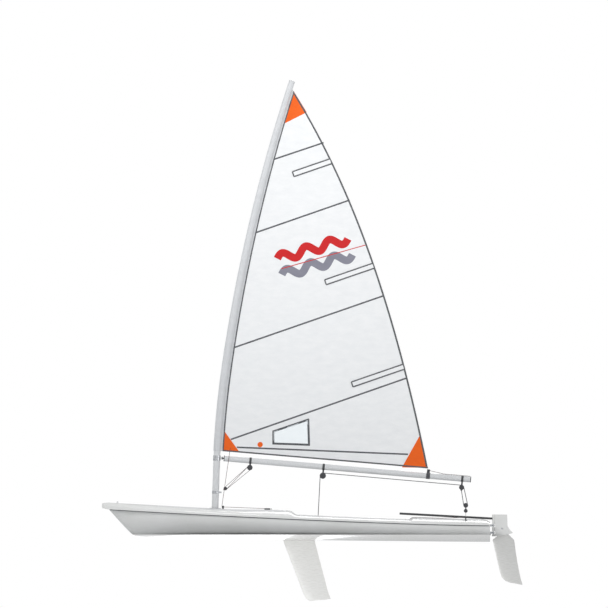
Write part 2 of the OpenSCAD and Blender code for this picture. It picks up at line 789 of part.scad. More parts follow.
function curve(a, b, c, n) =
    [for (i = [0:n]) let (t = i / n) (1 - t) * (1 - t) * a + 2 * t * (1 - t) * b + t * t * c];
module blade_plate() {
    translate([0, blade_thickness / 2, 0]) rotate([90, 0, 0]) linear_extrude(height = blade_thickness) children();
}
module rudder_blade() {
    color("white") on_axis() translate([blade_pivot[0], 0, blade_pivot[1]]) difference() {
        union() {
            blade_plate() circle(r = blade_r);
            blade_plate() polygon(concat([[blade_r - 8, -10], [blade_r, -92], [104, -121], [54, -345]],
                curve([22, -490], [2, -575], [-85, -590], 6),
                [[-223, -616], [-192, -500], [-150, -270], [-130, -126], [-blade_r, -50], [8 - blade_r, -10]]));
        }
        translate([0, 50, 0]) rotate([90, 0, 0]) cylinder(r = bolt_r + 0.3, h = 100);
    }
}

// Daggerboard and the head that stops it on the trim
head_gap = 1;
head_z = bay_floor_z + trim_thickness + head_gap;
head_height = 13;
module daggerboard() {
    half = board_chord / 2;
    color("white") difference() {
        in_case() translate([0, board_thickness / 2, 0]) rotate([90, 0, 0])
            linear_extrude(height = board_thickness)
            polygon(concat([[-half, 300], [half, 300], [half, -60]],
                curve([half - 35, 60 - board_drop], [half - 38, 22 - board_drop], [half - 75, 12 - board_drop], 4),
                [[26 - half, -36 - board_drop], [31 - half, 30 - board_drop], [-half, -60]]));
        translate([-500, -100, head_z]) cube([1200, 200, 500]);
    }
}
module board_head() {
    middle = case_x + head_z * tan(case_rake);
    grip_x = middle + 75;
    color("dimgray") {
        translate([middle, 0, head_z]) linear_extrude(height = head_height)
            rounded(2 * mouth_half + 24, slot_width + 30, 14);
        translate([grip_x, 0, head_z + head_height]) for (x = [-46, 46]) translate([x, 0, 0])
            cylinder(r = 8, h = 30);
        translate([grip_x - 58, 0, head_z + head_height + 34]) rotate([0, 90, 0]) cylinder(r = 9, h = 116);
    }
}

hull();
deck();
cockpit_liner();
mast_step();
case_trim();
control_cleat();
deck_block();
bow_eye();
grab_rail_port();
grab_rail_starboard();
toe_strap();
block_bracket();
ratchet_block();
fairlead_port();
fairlead_starboard();
traveller_cleat();
traveller_block();
lower_sheet_block();
self_bailer();
drain_plug();
gudgeon_upper();
gudgeon_lower();
lower_mast();
upper_mast();
mast_spigot();
gooseneck();
boom();
boom_caps();
vang_band();
vang_lower_block();
vang_upper_block();
boom_middle_block();
boom_end_block();
luff_sleeve();
sail();
sail_window();
batten_top();
batten_middle();
batten_bottom();
clew_strap();
rudder_head();
pintles();
tiller();
blade_bolt();
rudder_blade();
daggerboard();
board_head();
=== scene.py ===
import json
import math

import bmesh
import bpy
import numpy as np
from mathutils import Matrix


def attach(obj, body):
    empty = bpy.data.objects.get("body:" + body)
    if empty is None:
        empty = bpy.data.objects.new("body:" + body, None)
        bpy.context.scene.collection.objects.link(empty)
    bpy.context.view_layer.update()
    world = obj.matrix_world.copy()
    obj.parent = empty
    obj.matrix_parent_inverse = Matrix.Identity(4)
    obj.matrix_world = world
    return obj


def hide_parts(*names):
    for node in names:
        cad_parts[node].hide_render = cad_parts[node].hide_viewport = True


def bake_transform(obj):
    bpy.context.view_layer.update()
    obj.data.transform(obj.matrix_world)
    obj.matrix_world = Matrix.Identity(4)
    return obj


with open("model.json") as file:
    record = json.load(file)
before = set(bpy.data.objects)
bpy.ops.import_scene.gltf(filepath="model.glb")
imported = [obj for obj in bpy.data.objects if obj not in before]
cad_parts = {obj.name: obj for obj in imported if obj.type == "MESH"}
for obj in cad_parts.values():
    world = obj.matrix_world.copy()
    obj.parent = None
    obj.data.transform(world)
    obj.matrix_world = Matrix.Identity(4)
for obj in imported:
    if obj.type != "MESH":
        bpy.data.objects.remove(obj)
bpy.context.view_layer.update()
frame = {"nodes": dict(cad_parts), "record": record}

# Lengths are millimetres, and metres in the studio: X to the bow, Y to port, Z up from the water
MM = 0.001

# ---------------------------------------------------------------- camera, floor and light

VIEW_HEIGHT, CAMERA_AT, FLOOR_HALF = 6.627, (-0.087, 12.0, 2.5125), 40.0
GLOW_START, GLOW_FULL = 4.5, 13.0
LIGHTS = (
    ("key", (4.5, 6.5, 7.0), (0, 0, 1.6), 4.0, 345),
    ("fill", (-7.5, 6.0, 3.5), (0, 0, 2.2), 5.0, 165),
    ("back", (-3.0, -13.0, 10.0), (-1.5, -6.0, 0), 8.0, 880),
    ("under", (1.5, 5.0, -2.6), (0, 0, -0.2), 4.0, 150),
    ("under_back", (1.5, -5.0, -2.6), (0, 0, -0.2), 4.0, 110),
)


def to_scene(name, data):
    """Object with this data, linked to the scene."""
    made = bpy.data.objects.new(name, data)
    bpy.context.scene.collection.objects.link(made)
    return made


def studio():
    """Square level view from the port side, a pale floor at the waterline, and soft light from above and
    below it."""
    camera = to_scene("camera", bpy.data.cameras.new("camera"))
    camera.data.type = "ORTHO"
    camera.data.ortho_scale = VIEW_HEIGHT
    camera.location = CAMERA_AT
    camera.rotation_euler = (math.radians(90), 0, math.radians(180))
    camera.data.clip_end = 200
    bpy.context.scene.camera = camera
    bpy.context.scene.view_settings.view_transform = "Standard"

    ground = bpy.data.meshes.new("floor")
    corners = [(x * FLOOR_HALF, y * FLOOR_HALF, 0) for x, y in ((-1, -1), (1, -1), (1, 1), (-1, 1))]
    ground.from_pydata(corners, [], [(0, 1, 2, 3)])
    floor = to_scene("floor", ground)
    floor.data.materials.append(floor_paper())

    for name, place, aim, size, power in LIGHTS:
        light = to_scene(name, bpy.data.lights.new(name, "AREA"))
        light.data.size = size
        light.data.energy = power
        light.location = place
        x, y, z = np.array(aim, float) - np.array(place, float)
        light.rotation_euler = (math.atan2(math.hypot(x, y), -z), 0, math.atan2(-x, y))

    world = bpy.data.worlds.new("studio")
    world.use_nodes = True
    tree = world.node_tree
    sky, paper = tree.nodes["Background"], tree.nodes.new("ShaderNodeBackground")
    for node, colour, strength in ((sky, (0.97, 0.985, 1.0, 1), 0.52), (paper, (1.0, 1.0, 1.0, 1), 1.0)):
        node.inputs["Color"].default_value = colour
        node.inputs["Strength"].default_value = strength
    seen, both = tree.nodes.new("ShaderNodeLightPath"), tree.nodes.new("ShaderNodeMixShader")
    tree.links.new(seen.outputs["Is Camera Ray"], both.inputs[0])
    tree.links.new(sky.outputs[0], both.inputs[1])
    tree.links.new(paper.outputs[0], both.inputs[2])
    tree.links.new(both.outputs[0], tree.nodes["World Output"].inputs["Surface"])
    bpy.context.scene.world = world


# ---------------------------------------------------------------- finishes


class Finish:
    """A node material under construction: a principled shader and short ways to add textures to it."""

    def __init__(self, name, colour, rough, **sockets):
        self.material = bpy.data.materials.new(name)
        self.material.use_nodes = True
        self.nodes = self.material.node_tree.nodes
        self.links = self.material.node_tree.links
        self.shader = self.nodes["Principled BSDF"]
        self.shader.inputs["Base Color"].default_value = (*colour, 1)
        self.shader.inputs["Roughness"].default_value = rough
        self.material.diffuse_color = (*colour, 1)
        for socket, value in sockets.items():
            self.shader.inputs[socket.replace("_", " ")].default_value = value
        self.coordinates = self.nodes.new("ShaderNodeTexCoord")

    def node(self, kind, inputs=None, **settings):
        """A node with its settings, and each input either linked or set."""
        made = self.nodes.new("ShaderNode" + kind)
        for key, value in settings.items():
            setattr(made, key, value)
        for key, value in (inputs or {}).items():
            if isinstance(value, bpy.types.NodeSocket):
                self.links.new(value, made.inputs[key])
            else:
                made.inputs[key].default_value = value
        return made

    def place(self, source="Object", scale=(1, 1, 1), turn=0):
        """Coordinates from the object or its UV map, stretched, and turned about Z by degrees."""
        turned = (0, 0, math.radians(turn))
        inputs = {"Vector": self.coordinates.outputs[source], "Scale": scale, "Rotation": turned}
        return self.node("Mapping", inputs).outputs["Vector"]

    def noise(self, vector, scale, detail=3.0, rough=0.5):
        inputs = {"Vector": vector, "Scale": scale, "Detail": detail, "Roughness": rough}
        return self.node("TexNoise", inputs).outputs["Fac"]

    def bands(self, vector, scale, way="X"):
        inputs = {"Vector": vector, "Scale": scale}
        return self.node("TexWave", inputs, wave_type="BANDS", bands_direction=way).outputs["Fac"]

    def math(self, operation, a, b=0.0, clamp=False):
        return self.node("Math", {0: a, 1: b}, operation=operation, use_clamp=clamp).outputs[0]

    def spread(self, value, low, high, start=0.35, end=0.65):
        """Stretches start..end of a value to low..high."""
        return self.node("MapRange", {0: value, 1: start, 2: end, 3: low, 4: high}).outputs[0]

    def tint(self, fac, a, b):
        """Blend of two colours by a factor."""
        a, b = (v if isinstance(v, bpy.types.NodeSocket) else (*v, 1) for v in (a, b))
        return self.node("Mix", {"Factor": fac, 6: a, 7: b}, data_type="RGBA").outputs[2]

    def colour(self, socket):
        self.links.new(socket, self.shader.inputs["Base Color"])

    def drift(self, value, low, high):
        """Colour that drifts from low to high with a value."""
        self.colour(self.tint(self.spread(value, 0, 1), low, high))

    def rough(self, socket):
        self.links.new(socket, self.shader.inputs["Roughness"])

    def bump(self, height, distance, strength=1.0):
        """Adds relief of a height in metres to the relief already there."""
        made = self.node("Bump", {"Height": height, "Distance": distance, "Strength": strength})
        normal = self.shader.inputs["Normal"]
        if normal.is_linked:
            self.links.new(normal.links[0].from_socket, made.inputs["Normal"])
        self.links.new(made.outputs["Normal"], normal)
        return self


def shaded(colour, share, lift=0.0):
    """A colour times a share plus a lift, at most 1."""
    return [min(1, c * share + lift) for c in colour]


def floor_paper():
    """Pale studio paper that glows to white with distance, as a lit backdrop does, so that it shows no far
    edge."""
    f = Finish("floor_paper", (0.66, 0.67, 0.68), 0.7)
    f.drift(f.noise(f.place(), 6.0, 4.0), (0.645, 0.655, 0.665), (0.675, 0.685, 0.695))
    away = f.node("VectorMath", {0: f.coordinates.outputs["Object"]}, operation="LENGTH").outputs["Value"]
    reach = {0: away, 1: GLOW_START, 2: GLOW_FULL}
    fade = f.node("MapRange", reach, interpolation_type="SMOOTHSTEP").outputs[0]
    f.shader.inputs["Emission Color"].default_value = (1, 1, 1, 1)
    f.links.new(fade, f.shader.inputs["Emission Strength"])
    return f.material


def gelcoat():
    """Polished white gelcoat: faint long waves, polishing haze, and a diamond grit where the tread
    attribute is set."""
    f = Finish("gelcoat", (0.80, 0.80, 0.785), 0.22, Coat_Weight=0.5, Coat_Roughness=0.06)
    cloud = f.noise(f.place(), 2.2, 5.0)
    haze = f.noise(f.place(scale=(30, 30, 120)), 3.0, 5.0)
    tread = f.node("Attribute", attribute_name="tread").outputs["Fac"]
    diamonds = f.math("MAXIMUM", *(f.bands(f.place(turn=turn), 42.0) for turn in (45, -45)))
    white = f.tint(f.spread(cloud, 0, 1), (0.775, 0.775, 0.755), (0.83, 0.83, 0.82))
    f.colour(f.tint(f.math("MULTIPLY", tread, 0.75), white, (0.66, 0.67, 0.68)))
    f.rough(f.math("ADD", f.spread(haze, 0.16, 0.28), f.math("MULTIPLY", tread, 0.38), clamp=True))
    f.bump(f.math("MULTIPLY", diamonds, tread), 0.0009)
    return f.bump(cloud, 0.0012, 0.35).material


def foil_paint():
    """White foil gelcoat, sanded along the chord, a shade warmer than the hull."""
    f = Finish("foil_gelcoat", (0.80, 0.79, 0.76), 0.3, Coat_Weight=0.3, Coat_Roughness=0.12)
    haze = f.noise(f.place(scale=(6, 40, 60)), 3.0, 6.0)
    f.drift(haze, (0.755, 0.75, 0.725), (0.785, 0.78, 0.76))
    f.rough(f.spread(haze, 0.22, 0.36))
    return f.bump(haze, 0.00005, 0.3).material


def moulded(name, colour, rough, shine=0.5):
    """Injection-moulded plastic: even colour, fine stipple and paler handled edges."""
    f = Finish(name, colour, rough, Specular_IOR_Level=shine)
    stipple = f.noise(f.place(), 900.0, 2.0)
    cloud = f.noise(f.place(), 35.0, 4.0)
    edge = f.node("NewGeometry").outputs["Pointiness"]
    worn = f.spread(edge, 0, 0.5, 0.52, 0.62)
    body = f.tint(f.spread(cloud, 0, 1), shaded(colour, 0.9), shaded(colour, 1.12))
    f.colour(f.tint(worn, body, shaded(colour, 1.6, 0.03)))
    f.rough(f.spread(cloud, rough * 0.85, min(1, rough * 1.15)))
    return f.bump(stipple, 0.00012, 0.6).material


def steel():
    """Polished stainless steel with fine drawn lines and a little salt bloom."""
    f = Finish("stainless_steel", (0.62, 0.63, 0.65), 0.24, Metallic=1.0)
    drawn = f.noise(f.place(scale=(8, 8, 400)), 6.0, 4.0)
    bloom = f.noise(f.place(), 60.0, 5.0)
    f.drift(bloom, (0.56, 0.57, 0.59), (0.68, 0.69, 0.71))
    f.rough(f.math("ADD", f.spread(drawn, 0.14, 0.26), f.spread(bloom, 0.0, 0.12, 0.5, 0.8)))
    return f.bump(drawn, 0.00006, 0.5).material


def oiled_wood():
    """Oiled hardwood: grain lines that run fore and aft, waved by a slow noise."""
    f = Finish("oiled_wood", (0.42, 0.22, 0.10), 0.42, Coat_Weight=0.15, Coat_Roughness=0.3)
    wave = {"Scale": 2.4, "Distortion": 5.0, "Detail": 4.0, "Detail Scale": 1.5}
    wave["Vector"] = f.place(scale=(1.2, 30, 30))
    grain = f.node("TexWave", wave, wave_type="RINGS").outputs["Fac"]
    pores = f.noise(f.place(scale=(12, 260, 260)), 4.0, 3.0)
    streaks = f.math("MULTIPLY", f.spread(grain, 0, 1, 0.2, 0.9), 0.8)
    f.colour(f.tint(streaks, (0.50, 0.28, 0.13), (0.27, 0.13, 0.055)))
    f.rough(f.spread(pores, 0.36, 0.55))
    return f.bump(pores, 0.0003, 0.6).material


def spar_paint():
    """Satin pale grey paint over drawn tube: faint orange peel and long draw lines."""
    f = Finish("spar_paint", (0.67, 0.675, 0.68), 0.3, Coat_Weight=0.25, Coat_Roughness=0.15)
    peel = f.noise(f.place(), 260.0, 2.0)
    lines = f.noise(f.place(scale=(60, 60, 3)), 5.0, 4.0)
    f.drift(lines, (0.63, 0.64, 0.65), (0.70, 0.705, 0.715))
    f.rough(f.spread(lines, 0.24, 0.36))
    return f.bump(peel, 0.00012, 0.4).material


def sailcloth(name, light, crease_shade, sheen=0.2):
    """Plain woven polyester: two crossed bands of threads on the UV map, which is in metres, over soft
    creases, whose troughs are also darkened in colour as painted shade."""
    f = Finish(name, light, 0.5, Sheen_Weight=sheen, Sheen_Roughness=0.4, Specular_IOR_Level=0.35)
    warp, weft = (f.bands(f.place("UV"), 75.0, way) for way in "XY")
    weave = f.math("MULTIPLY", f.math("ADD", warp, weft), 0.5)
    creases = f.noise(f.place("UV", scale=(1, 2.2, 1)), 7.0, 6.0, 0.62)
    slubs = f.noise(f.place("UV", scale=(30, 400, 1)), 1.0, 3.0)
    # painted shade: the cloth colour is darker in the troughs of the creases
    cloth = f.tint(f.spread(creases, 0, 1, 0.3, 0.7), crease_shade, light)
    f.colour(f.tint(f.math("MULTIPLY", f.spread(slubs, 0, 1), 0.18), cloth, shaded(light, 0.88)))
    f.rough(f.spread(weave, 0.42, 0.58, 0.2, 0.8))
    f.bump(creases, 0.004, 0.3)
    return f.bump(weave, 0.0002, 0.4).material


STITCH_ROW, STITCH_HALF, STITCHES_PER_M, STITCH_SHARE = 0.0036, 0.0006, 160.0, 0.62


def stitched_tape():
    """Dark seam tape whose UV map is metres along and across it from its middle: a twill and two rows of
    stitches."""
    f = Finish("seam_tape", (0.07, 0.073, 0.08), 0.55, Sheen_Weight=0.2, Specular_IOR_Level=0.3)
    spot = f.node("SeparateXYZ", {"Vector": f.coordinates.outputs["UV"]})
    from_row = f.math("ABSOLUTE", f.math("SUBTRACT", f.math("ABSOLUTE", spot.outputs["Y"]), STITCH_ROW))
    row = f.math("LESS_THAN", from_row, STITCH_HALF)
    step = f.math("FRACT", f.math("MULTIPLY", spot.outputs["X"], STITCHES_PER_M))
    stitches = f.math("MULTIPLY", row, f.math("LESS_THAN", step, STITCH_SHARE))
    twill = f.bands(f.place("UV", turn=40), 60.0)
    cloud = f.noise(f.place(), 12.0, 4.0)
    body = f.tint(f.spread(cloud, 0, 1), (0.05, 0.052, 0.058), (0.085, 0.088, 0.095))
    f.colour(f.tint(stitches, body, (0.42, 0.43, 0.45)))
    f.rough(f.spread(cloud, 0.48, 0.64))
    f.bump(twill, 0.0002, 0.5)
    return f.bump(stitches, 0.0004, 0.8).material


def webbing(name, colour):
    """Woven strap: chevron ribs across the strap on Object coordinates, with colour darker in the grooves and
    lighter on the ribs as painted shade and painted highlight.
    """
    f = Finish(name, colour, 0.8, Sheen_Weight=0.4)
    weave = f.math("MAXIMUM", *(f.bands(f.place(turn=turn), 120.0) for turn in (25, -25)))
    # painted shade and painted highlight: the strap colour is darker in the weave's grooves and lighter on its
    # ribs
    f.colour(f.tint(weave, shaded(colour, 0.6), shaded(colour, 1.25)))
    return f.bump(weave, 0.0004).material


def braid(name, colour, fleck):
    """Braided rope on its UV map, where U is metres along and V turns round once: two crossed sets of
    strands, with the colour darkened between the strands as painted shade."""
    f = Finish(name, colour, 0.75, Sheen_Weight=0.35)
    sets = [f.bands(f.place("UV", scale=(90, lean, 1)), 1.0, "DIAGONAL") for lean in (4, -4)]
    strands = f.math("MAXIMUM", *sets)
    spots = f.noise(f.place("UV", scale=(160, 5, 1)), 1.0, 2.0)
    # painted shade: the rope colour is darker between the strands than on them
    f.colour(f.tint(f.spread(spots, 0, 1, 0.58, 0.64), f.tint(strands, shaded(colour, 0.72), colour), fleck))
    return f.bump(strands, 0.0006).material


def clear_film():
    """Clear window film: thin, slightly blue, with soft scratches."""
    f = Finish("clear_film", (0.86, 0.92, 0.95), 0.12, Alpha=0.42, IOR=1.4)
    scratches = f.noise(f.place(scale=(4, 1, 60)), 5.0, 6.0)
    f.rough(f.spread(scratches, 0.06, 0.2))
    return f.bump(scratches, 0.0001, 0.3).material


studio()
GELCOAT = gelcoat()
FOIL = foil_paint()
BLACK = moulded("black_nylon", (0.035, 0.036, 0.04), 0.42)
GREY = moulded("grey_nylon", (0.30, 0.31, 0.33), 0.45)
# dark grey rubber of the gunwale beads, dark so that it also paints the shade line under the gunwale lip
SHADE_LINE_RUBBER = moulded("grey_rubber_shade_line", (0.10, 0.103, 0.11), 0.7, 0.3)
STEEL = steel()
WOOD = oiled_wood()
SPAR = spar_paint()
# the second colour of each sailcloth is the painted shade in its crease troughs
CLOTH = sailcloth("white_sailcloth", (0.86, 0.865, 0.87), (0.80, 0.81, 0.82))
SLEEVE_CLOTH = sailcloth("sleeve_cloth", (0.64, 0.65, 0.665), (0.58, 0.59, 0.605))
ORANGE = sailcloth("orange_sailcloth", (0.86, 0.125, 0.001), (0.79, 0.108, 0.001), sheen=0.03)
TAPE = stitched_tape()
RED = sailcloth("red_sailcloth", (0.62, 0.010, 0.012), (0.55, 0.008, 0.010), sheen=0.03)
SILVER = sailcloth("grey_sailcloth", (0.25, 0.25, 0.30), (0.21, 0.21, 0.26))
STRAP = webbing("black_webbing", (0.06, 0.062, 0.07))
FILM = clear_film()
SHEET_ROPE = braid("sheet_rope", (0.060, 0.062, 0.070), (0.45, 0.46, 0.50))
LINE_ROPE = braid("control_line", (0.045, 0.046, 0.052), (0.50, 0.03, 0.03))
BY_SLOT = {
    "gelcoat": GELCOAT,
    "plastic_pale": GREY,
    "plastic_black": BLACK,
    "stainless": STEEL,
    "wood": WOOD,
    "webbing": STRAP,
    "spar": SPAR,
    "sailcloth": CLOTH,
    "film": FILM,
    "foil": FOIL,
}
for part in frame["record"]["subparts"]:
    mesh = frame["nodes"][part["node"]].data
    mesh.materials.clear()
    mesh.materials.append(BY_SLOT[part["material_slot"]])

tiller = frame["nodes"]["tiller"].data
tiller.materials.clear()
tiller.materials.append(moulded("black_anodised", (0.03, 0.031, 0.034), 0.35))

# ---------------------------------------------------------------- meshes from grids of points


def quads(rows, cols, wrap_rows=False, wrap_cols=False):
    """Four-cornered faces between neighbours of a grid of points, numbered row by row."""
    down, across = np.arange(rows if wrap_rows else rows - 1), np.arange(cols if wrap_cols else cols - 1)
    i, j = np.meshgrid(down, across, indexing="ij")
    k, l = (i + 1) % rows, (j + 1) % cols
    return np.stack([i * cols + j, i * cols + l, k * cols + l, k * cols + j], -1).reshape(-1, 4).tolist()


def capped(rows, cols):
    """Faces of a row of closed sections, with both ends filled."""
    ends = [list(range(cols))[::-1], list(range((rows - 1) * cols, rows * cols))]
    return quads(rows, cols, wrap_cols=True) + ends


def build(name, points, faces, uv=None, crisp=32):
    """Mesh object from millimetre points: doubles merged, normals outwards, edges over `crisp` degrees kept
    sharp."""
    data = bpy.data.meshes.new(name)
    data.from_pydata((np.asarray(points, float).reshape(-1, 3) * MM).tolist(), [], faces)
    if uv is not None:
        corners = np.zeros(len(data.loops), np.int32)
        data.loops.foreach_get("vertex_index", corners)
        layer = data.uv_layers.new(name="UVMap")
        layer.data.foreach_set("uv", (np.asarray(uv, float).reshape(-1, 2)[corners]).ravel())
    work = bmesh.new()
    work.from_mesh(data)
    bmesh.ops.remove_doubles(work, verts=work.verts, dist=2e-6)
    bmesh.ops.dissolve_degenerate(work, edges=work.edges, dist=1e-6)
    bmesh.ops.recalc_face_normals(work, faces=work.faces)
    if work.calc_volume(signed=True) < 0:
        bmesh.ops.reverse_faces(work, faces=work.faces)
    work.to_mesh(data)
    work.free()
    smooth(data, crisp)
    return to_scene(name, data)


def smooth(data, crisp=32):
    """Smooth shading, with edges over `crisp` degrees kept sharp."""
    data.polygons.foreach_set("use_smooth", np.ones(len(data.polygons), bool))
    data.set_sharp_from_angle(angle=math.radians(crisp))


def cut(made, *tools):
    """Takes closed tools away from a closed piece and throws the tools away."""
    for tool in tools:
        step = made.modifiers.new("cut", "BOOLEAN")
        step.object = tool
        step.operation = "DIFFERENCE"
        step.solver = "EXACT"
    bpy.context.view_layer.update()
    result = bpy.data.meshes.new_from_object(made.evaluated_get(bpy.context.evaluated_depsgraph_get()))
    made.modifiers.clear()
    made.data = result
    smooth(result)
    for tool in tools:
        bpy.data.objects.remove(tool)
    return made


def put(made, material, body, replaces=()):
    """Gives a finished piece its material, its moving body and the CAD nodes that it
    stands for."""
    made.data.materials.clear()
    made.data.materials.append(material)
    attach(made, body)
    if replaces:
        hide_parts(*replaces)
    return made


def prism(name, outline, low, high):
    """Closed upright prism: an outline of X, Y points repeated at two heights."""
    n = len(outline)
    return build(name, [np.column_stack([outline, np.full(n, z)]) for z in (low, high)], capped(2, n))


def unit(rows):
    return rows / np.linalg.norm(rows, axis=1)[:, None]


def round_turn(count):
    """Angles of points evenly spaced round a circle."""
    return np.linspace(0, 2 * np.pi, count + 1)[:count]


def frames_along(path):
    """Side and up directions at each point of a path, the side turned as little as it can be from point to
    point."""
    way = unit(np.gradient(path, axis=0))
    side = np.zeros_like(way)
    start = np.cross(way[0], (0, 0, 1) if abs(way[0][2]) < 0.9 else (0, 1, 0))
    side[0] = start / np.linalg.norm(start)
    for k in range(1, len(path)):
        s = side[k - 1] - way[k] * (side[k - 1] @ way[k])
        side[k] = s / np.linalg.norm(s)
    return side, np.cross(way, side)


def tube(name, path, radius, sides=12):
    """Closed tube: a circle carried along a path, with flat ends. Its UV map is metres along and turns
    round."""
    path = np.asarray(path, float)
    side, up = frames_along(path)
    turn = round_turn(sides)
    ring = radius * (np.cos(turn)[None, :, None] * side[:, None] + np.sin(turn)[None, :, None] * up[:, None])
    length = np.concatenate([[0], np.cumsum(np.linalg.norm(np.diff(path, axis=0), axis=1))]) * MM
    uv = np.stack(np.broadcast_arrays(length[:, None], turn[None] / (2 * np.pi)), -1)
    return build(name, path[:, None] + ring, capped(len(path), sides), uv, 50)


def resample(points, step):
    """The same polyline with a point about every `step` millimetres."""
    points = np.asarray(points, float)
    along = np.concatenate([[0], np.cumsum(np.linalg.norm(np.diff(points, axis=0), axis=1))])
    wanted = np.linspace(0, along[-1], max(2, int(along[-1] / step) + 1))
    return np.stack([np.interp(wanted, along, points[:, k]) for k in range(points.shape[1])], -1)


# ---------------------------------------------------------------- shape of the hull and deck

TRANSOM, NOSE, STEM = -2115.0, 2115.0, 2053.0
WIDEST, HALF_BEAM, TRANSOM_LOSS = -211.5, 671.0, 141.0
LENGTH = NOSE - TRANSOM
WELL_FRONT, WELL_BACK, WELL_HALF, WELL_CORNER, SOLE = -210.0, -1240.0, 320.0, 80.0, 15.0
STEP_X = 30.0
RAKE = math.radians(17.5)
CASE_X, SLOT_HALF, SLOT_WIDE = -13.0, 168.5, 16.0
BAY_FLOOR, BAY_FRONT, BAY_BACK, BAY_HALF = 180.0, 265.15, -159.65, 48.0
MAST_X, LEAN = 892.0, math.radians(2)
LIP, HULL_POINTS = 11, 81


def mix(a, b, t):
    return a + (b - a) * t


def ease(t):
    """Smooth step from 0 to 1."""
    t = np.clip(t, 0, 1)
    return t * t * (3 - 2 * t)


def along(x):
    return np.clip((x - TRANSOM) / LENGTH, 0, 1)


def half_breadth(x, end, nose_radius):
    """Waterline: a power curve forward of the widest place, a parabola aft of it, and a round nose at its
    end."""
    u = np.clip((x - WIDEST) / (end - WIDEST), 0, 1)
    v = np.clip((WIDEST - x) / (WIDEST - TRANSOM), 0, 1)
    body = HALF_BEAM * (1 - u**1.9) - TRANSOM_LOSS * v * v
    left = np.maximum(0, end - x)
    return np.sqrt(body**2 + 2 * nose_radius * left * np.exp(-left / 150))


def hull_half(x):
    return half_breadth(x, STEM, 12)


def deck_half(x):
    return half_breadth(x, NOSE, 34) + 14 * np.clip((NOSE - x) / 300, 0, 1)


def sheer(x):
    """Gunwale height: rises with the 1.4th power of the way forward."""
    return 109 + 180 * along(x) ** 1.4


def keel(x):
    """Keel line, with a rounded bend up into the stem."""
    d = x - 1765
    return np.minimum(sheer(x) - 2, -80 + 50 * along(x) ** 1.3 + 1.1 * (np.sqrt(d * d + 45**2) + d) / 2)


def crown(x):
    """Height of the deck above the gunwale on the centreline: foredeck, step, side decks, step, aft deck,
    ends."""
    fore = 64 + 17 * ease((STEP_X + 700 - x) / 500)
    middle = mix(40, fore, ease((x - STEP_X + 45) / 90))
    whole = mix(56, middle, ease((x - WELL_BACK + 36) / 32))
    bow = 1 - 0.2 * np.clip((x - NOSE + 90) / 90, 0, 1) ** 2
    stern = np.sqrt(1 - 0.8 * (1 - np.clip((x - TRANSOM) / 90, 0, 1)) ** 2)
    return whole * bow * stern


def deck_z(x, y=0.0):
    """Deck height: each section is a cubic superellipse over the gunwale."""
    share = np.clip(np.abs(y) / np.maximum(deck_half(x), 1e-6), 0, 1)
    return sheer(x) + crown(x) * (1 - share**3) ** (1 / 3)


def rounded_loop(x0, x1, half, corner, count):
    """Round-cornered rectangle about the centreline: points evenly spaced along it, and their outward
    directions."""
    flat_x, flat_y, arc = x1 - x0 - 2 * corner, 2 * (half - corner), math.pi / 2 * corner
    total = 2 * flat_x + 2 * flat_y + 4 * arc
    s = np.arange(count) / count * total
    points, ways = np.zeros((count, 2)), np.zeros((count, 2))
    legs = [
        ((x1, -(half - corner)), (0, 1), flat_y, 0),
        ((x1 - corner, half), (-1, 0), flat_x, 90),
        ((x0, half - corner), (0, -1), flat_y, 180),
        ((x0 + corner, -half), (1, 0), flat_x, 270),
    ]
    for (px, py), (dx, dy), length, facing in legs:
        on = (s >= 0) & (s < length)
        angle = math.radians(facing)
        outward = np.array([math.cos(angle), math.sin(angle)])
        points[on] = np.array([px, py]) + s[on, None] * np.array([dx, dy])
        ways[on] = outward
        s = s - length
        on = (s >= 0) & (s < arc)
        turn = angle + s[on] / corner
        centre = np.array([px + dx * length, py + dy * length]) - corner * outward
        ways[on] = np.column_stack([np.cos(turn), np.sin(turn)])
        points[on] = centre + corner * ways[on]
        s = s - arc
        s[s < 0] = -1
    return points, ways


def closed_sections(name, sections, crisp=32):
    """Solid through a row of closed sections with the same number of points, its two ends filled."""
    return build(name, sections, capped(*sections.shape[:2]), crisp=crisp)


def hull_line(x, inset=0.0):
    """Hull sections from the port gunwale under the keel to starboard: superellipses whose power falls to
    the bow. An inset takes them in from the skin, by less where the hull is narrow."""
    power = mix(2.7, 1.35, along(x) ** 2.5)
    a = np.linspace(-1, 1, HULL_POINTS)
    angle = (1 - np.abs(a)) * np.pi / 2
    b, top, low = hull_half(x), sheer(x), keel(x)
    take = np.minimum(inset, 0.45 * np.minimum(b, (top - low) * 0.5))
    reach = np.cos(angle)[None] ** (2 / power[:, None])
    depth = np.sin(angle)[None] ** (2 / power[:, None])
    y = -np.sign(a)[None] * (b - take)[:, None] * reach
    z = top[:, None] - (top - low - take)[:, None] * depth
    return np.stack([np.broadcast_to(x[:, None], y.shape), y, z], -1)


def hull_skin():
    """Hull laminate: outer sections and inner ones 9 mm in, lofted from transom to stem, with the board
    slot cut."""
    bow = STEM - 0.6 - 552.4 * (1 - np.linspace(0, 1, 90)[1:]) ** 1.6
    x = np.concatenate([np.linspace(TRANSOM + 6, 1500, 120), bow])
    shell = closed_sections("hull_shell", np.concatenate([hull_line(x), hull_line(x, 9.0)[:, ::-1]], 1))
    return put(cut(shell, slot_tool(4.0)), GELCOAT, "hull_body", ("hull",))


def slot_tool(grow):
    """Straight tool along the raked daggerboard case."""
    x, y = (np.array([(1, -1), (1, 1), (-1, 1), (-1, -1)]) * [SLOT_HALF + grow, SLOT_WIDE + grow]).T
    return build("slot_tool", [in_case(x, y, np.full(4, z)) for z in (-300.0, 400.0)], capped(2, 4))


def in_case(x, y, z):
    """Local board axes to the boat's: turned by the rake about the waterline."""
    ahead = CASE_X + x * math.cos(RAKE) + z * math.sin(RAKE)
    return np.stack([ahead, y, -x * math.sin(RAKE) + z * math.cos(RAKE)], -1)


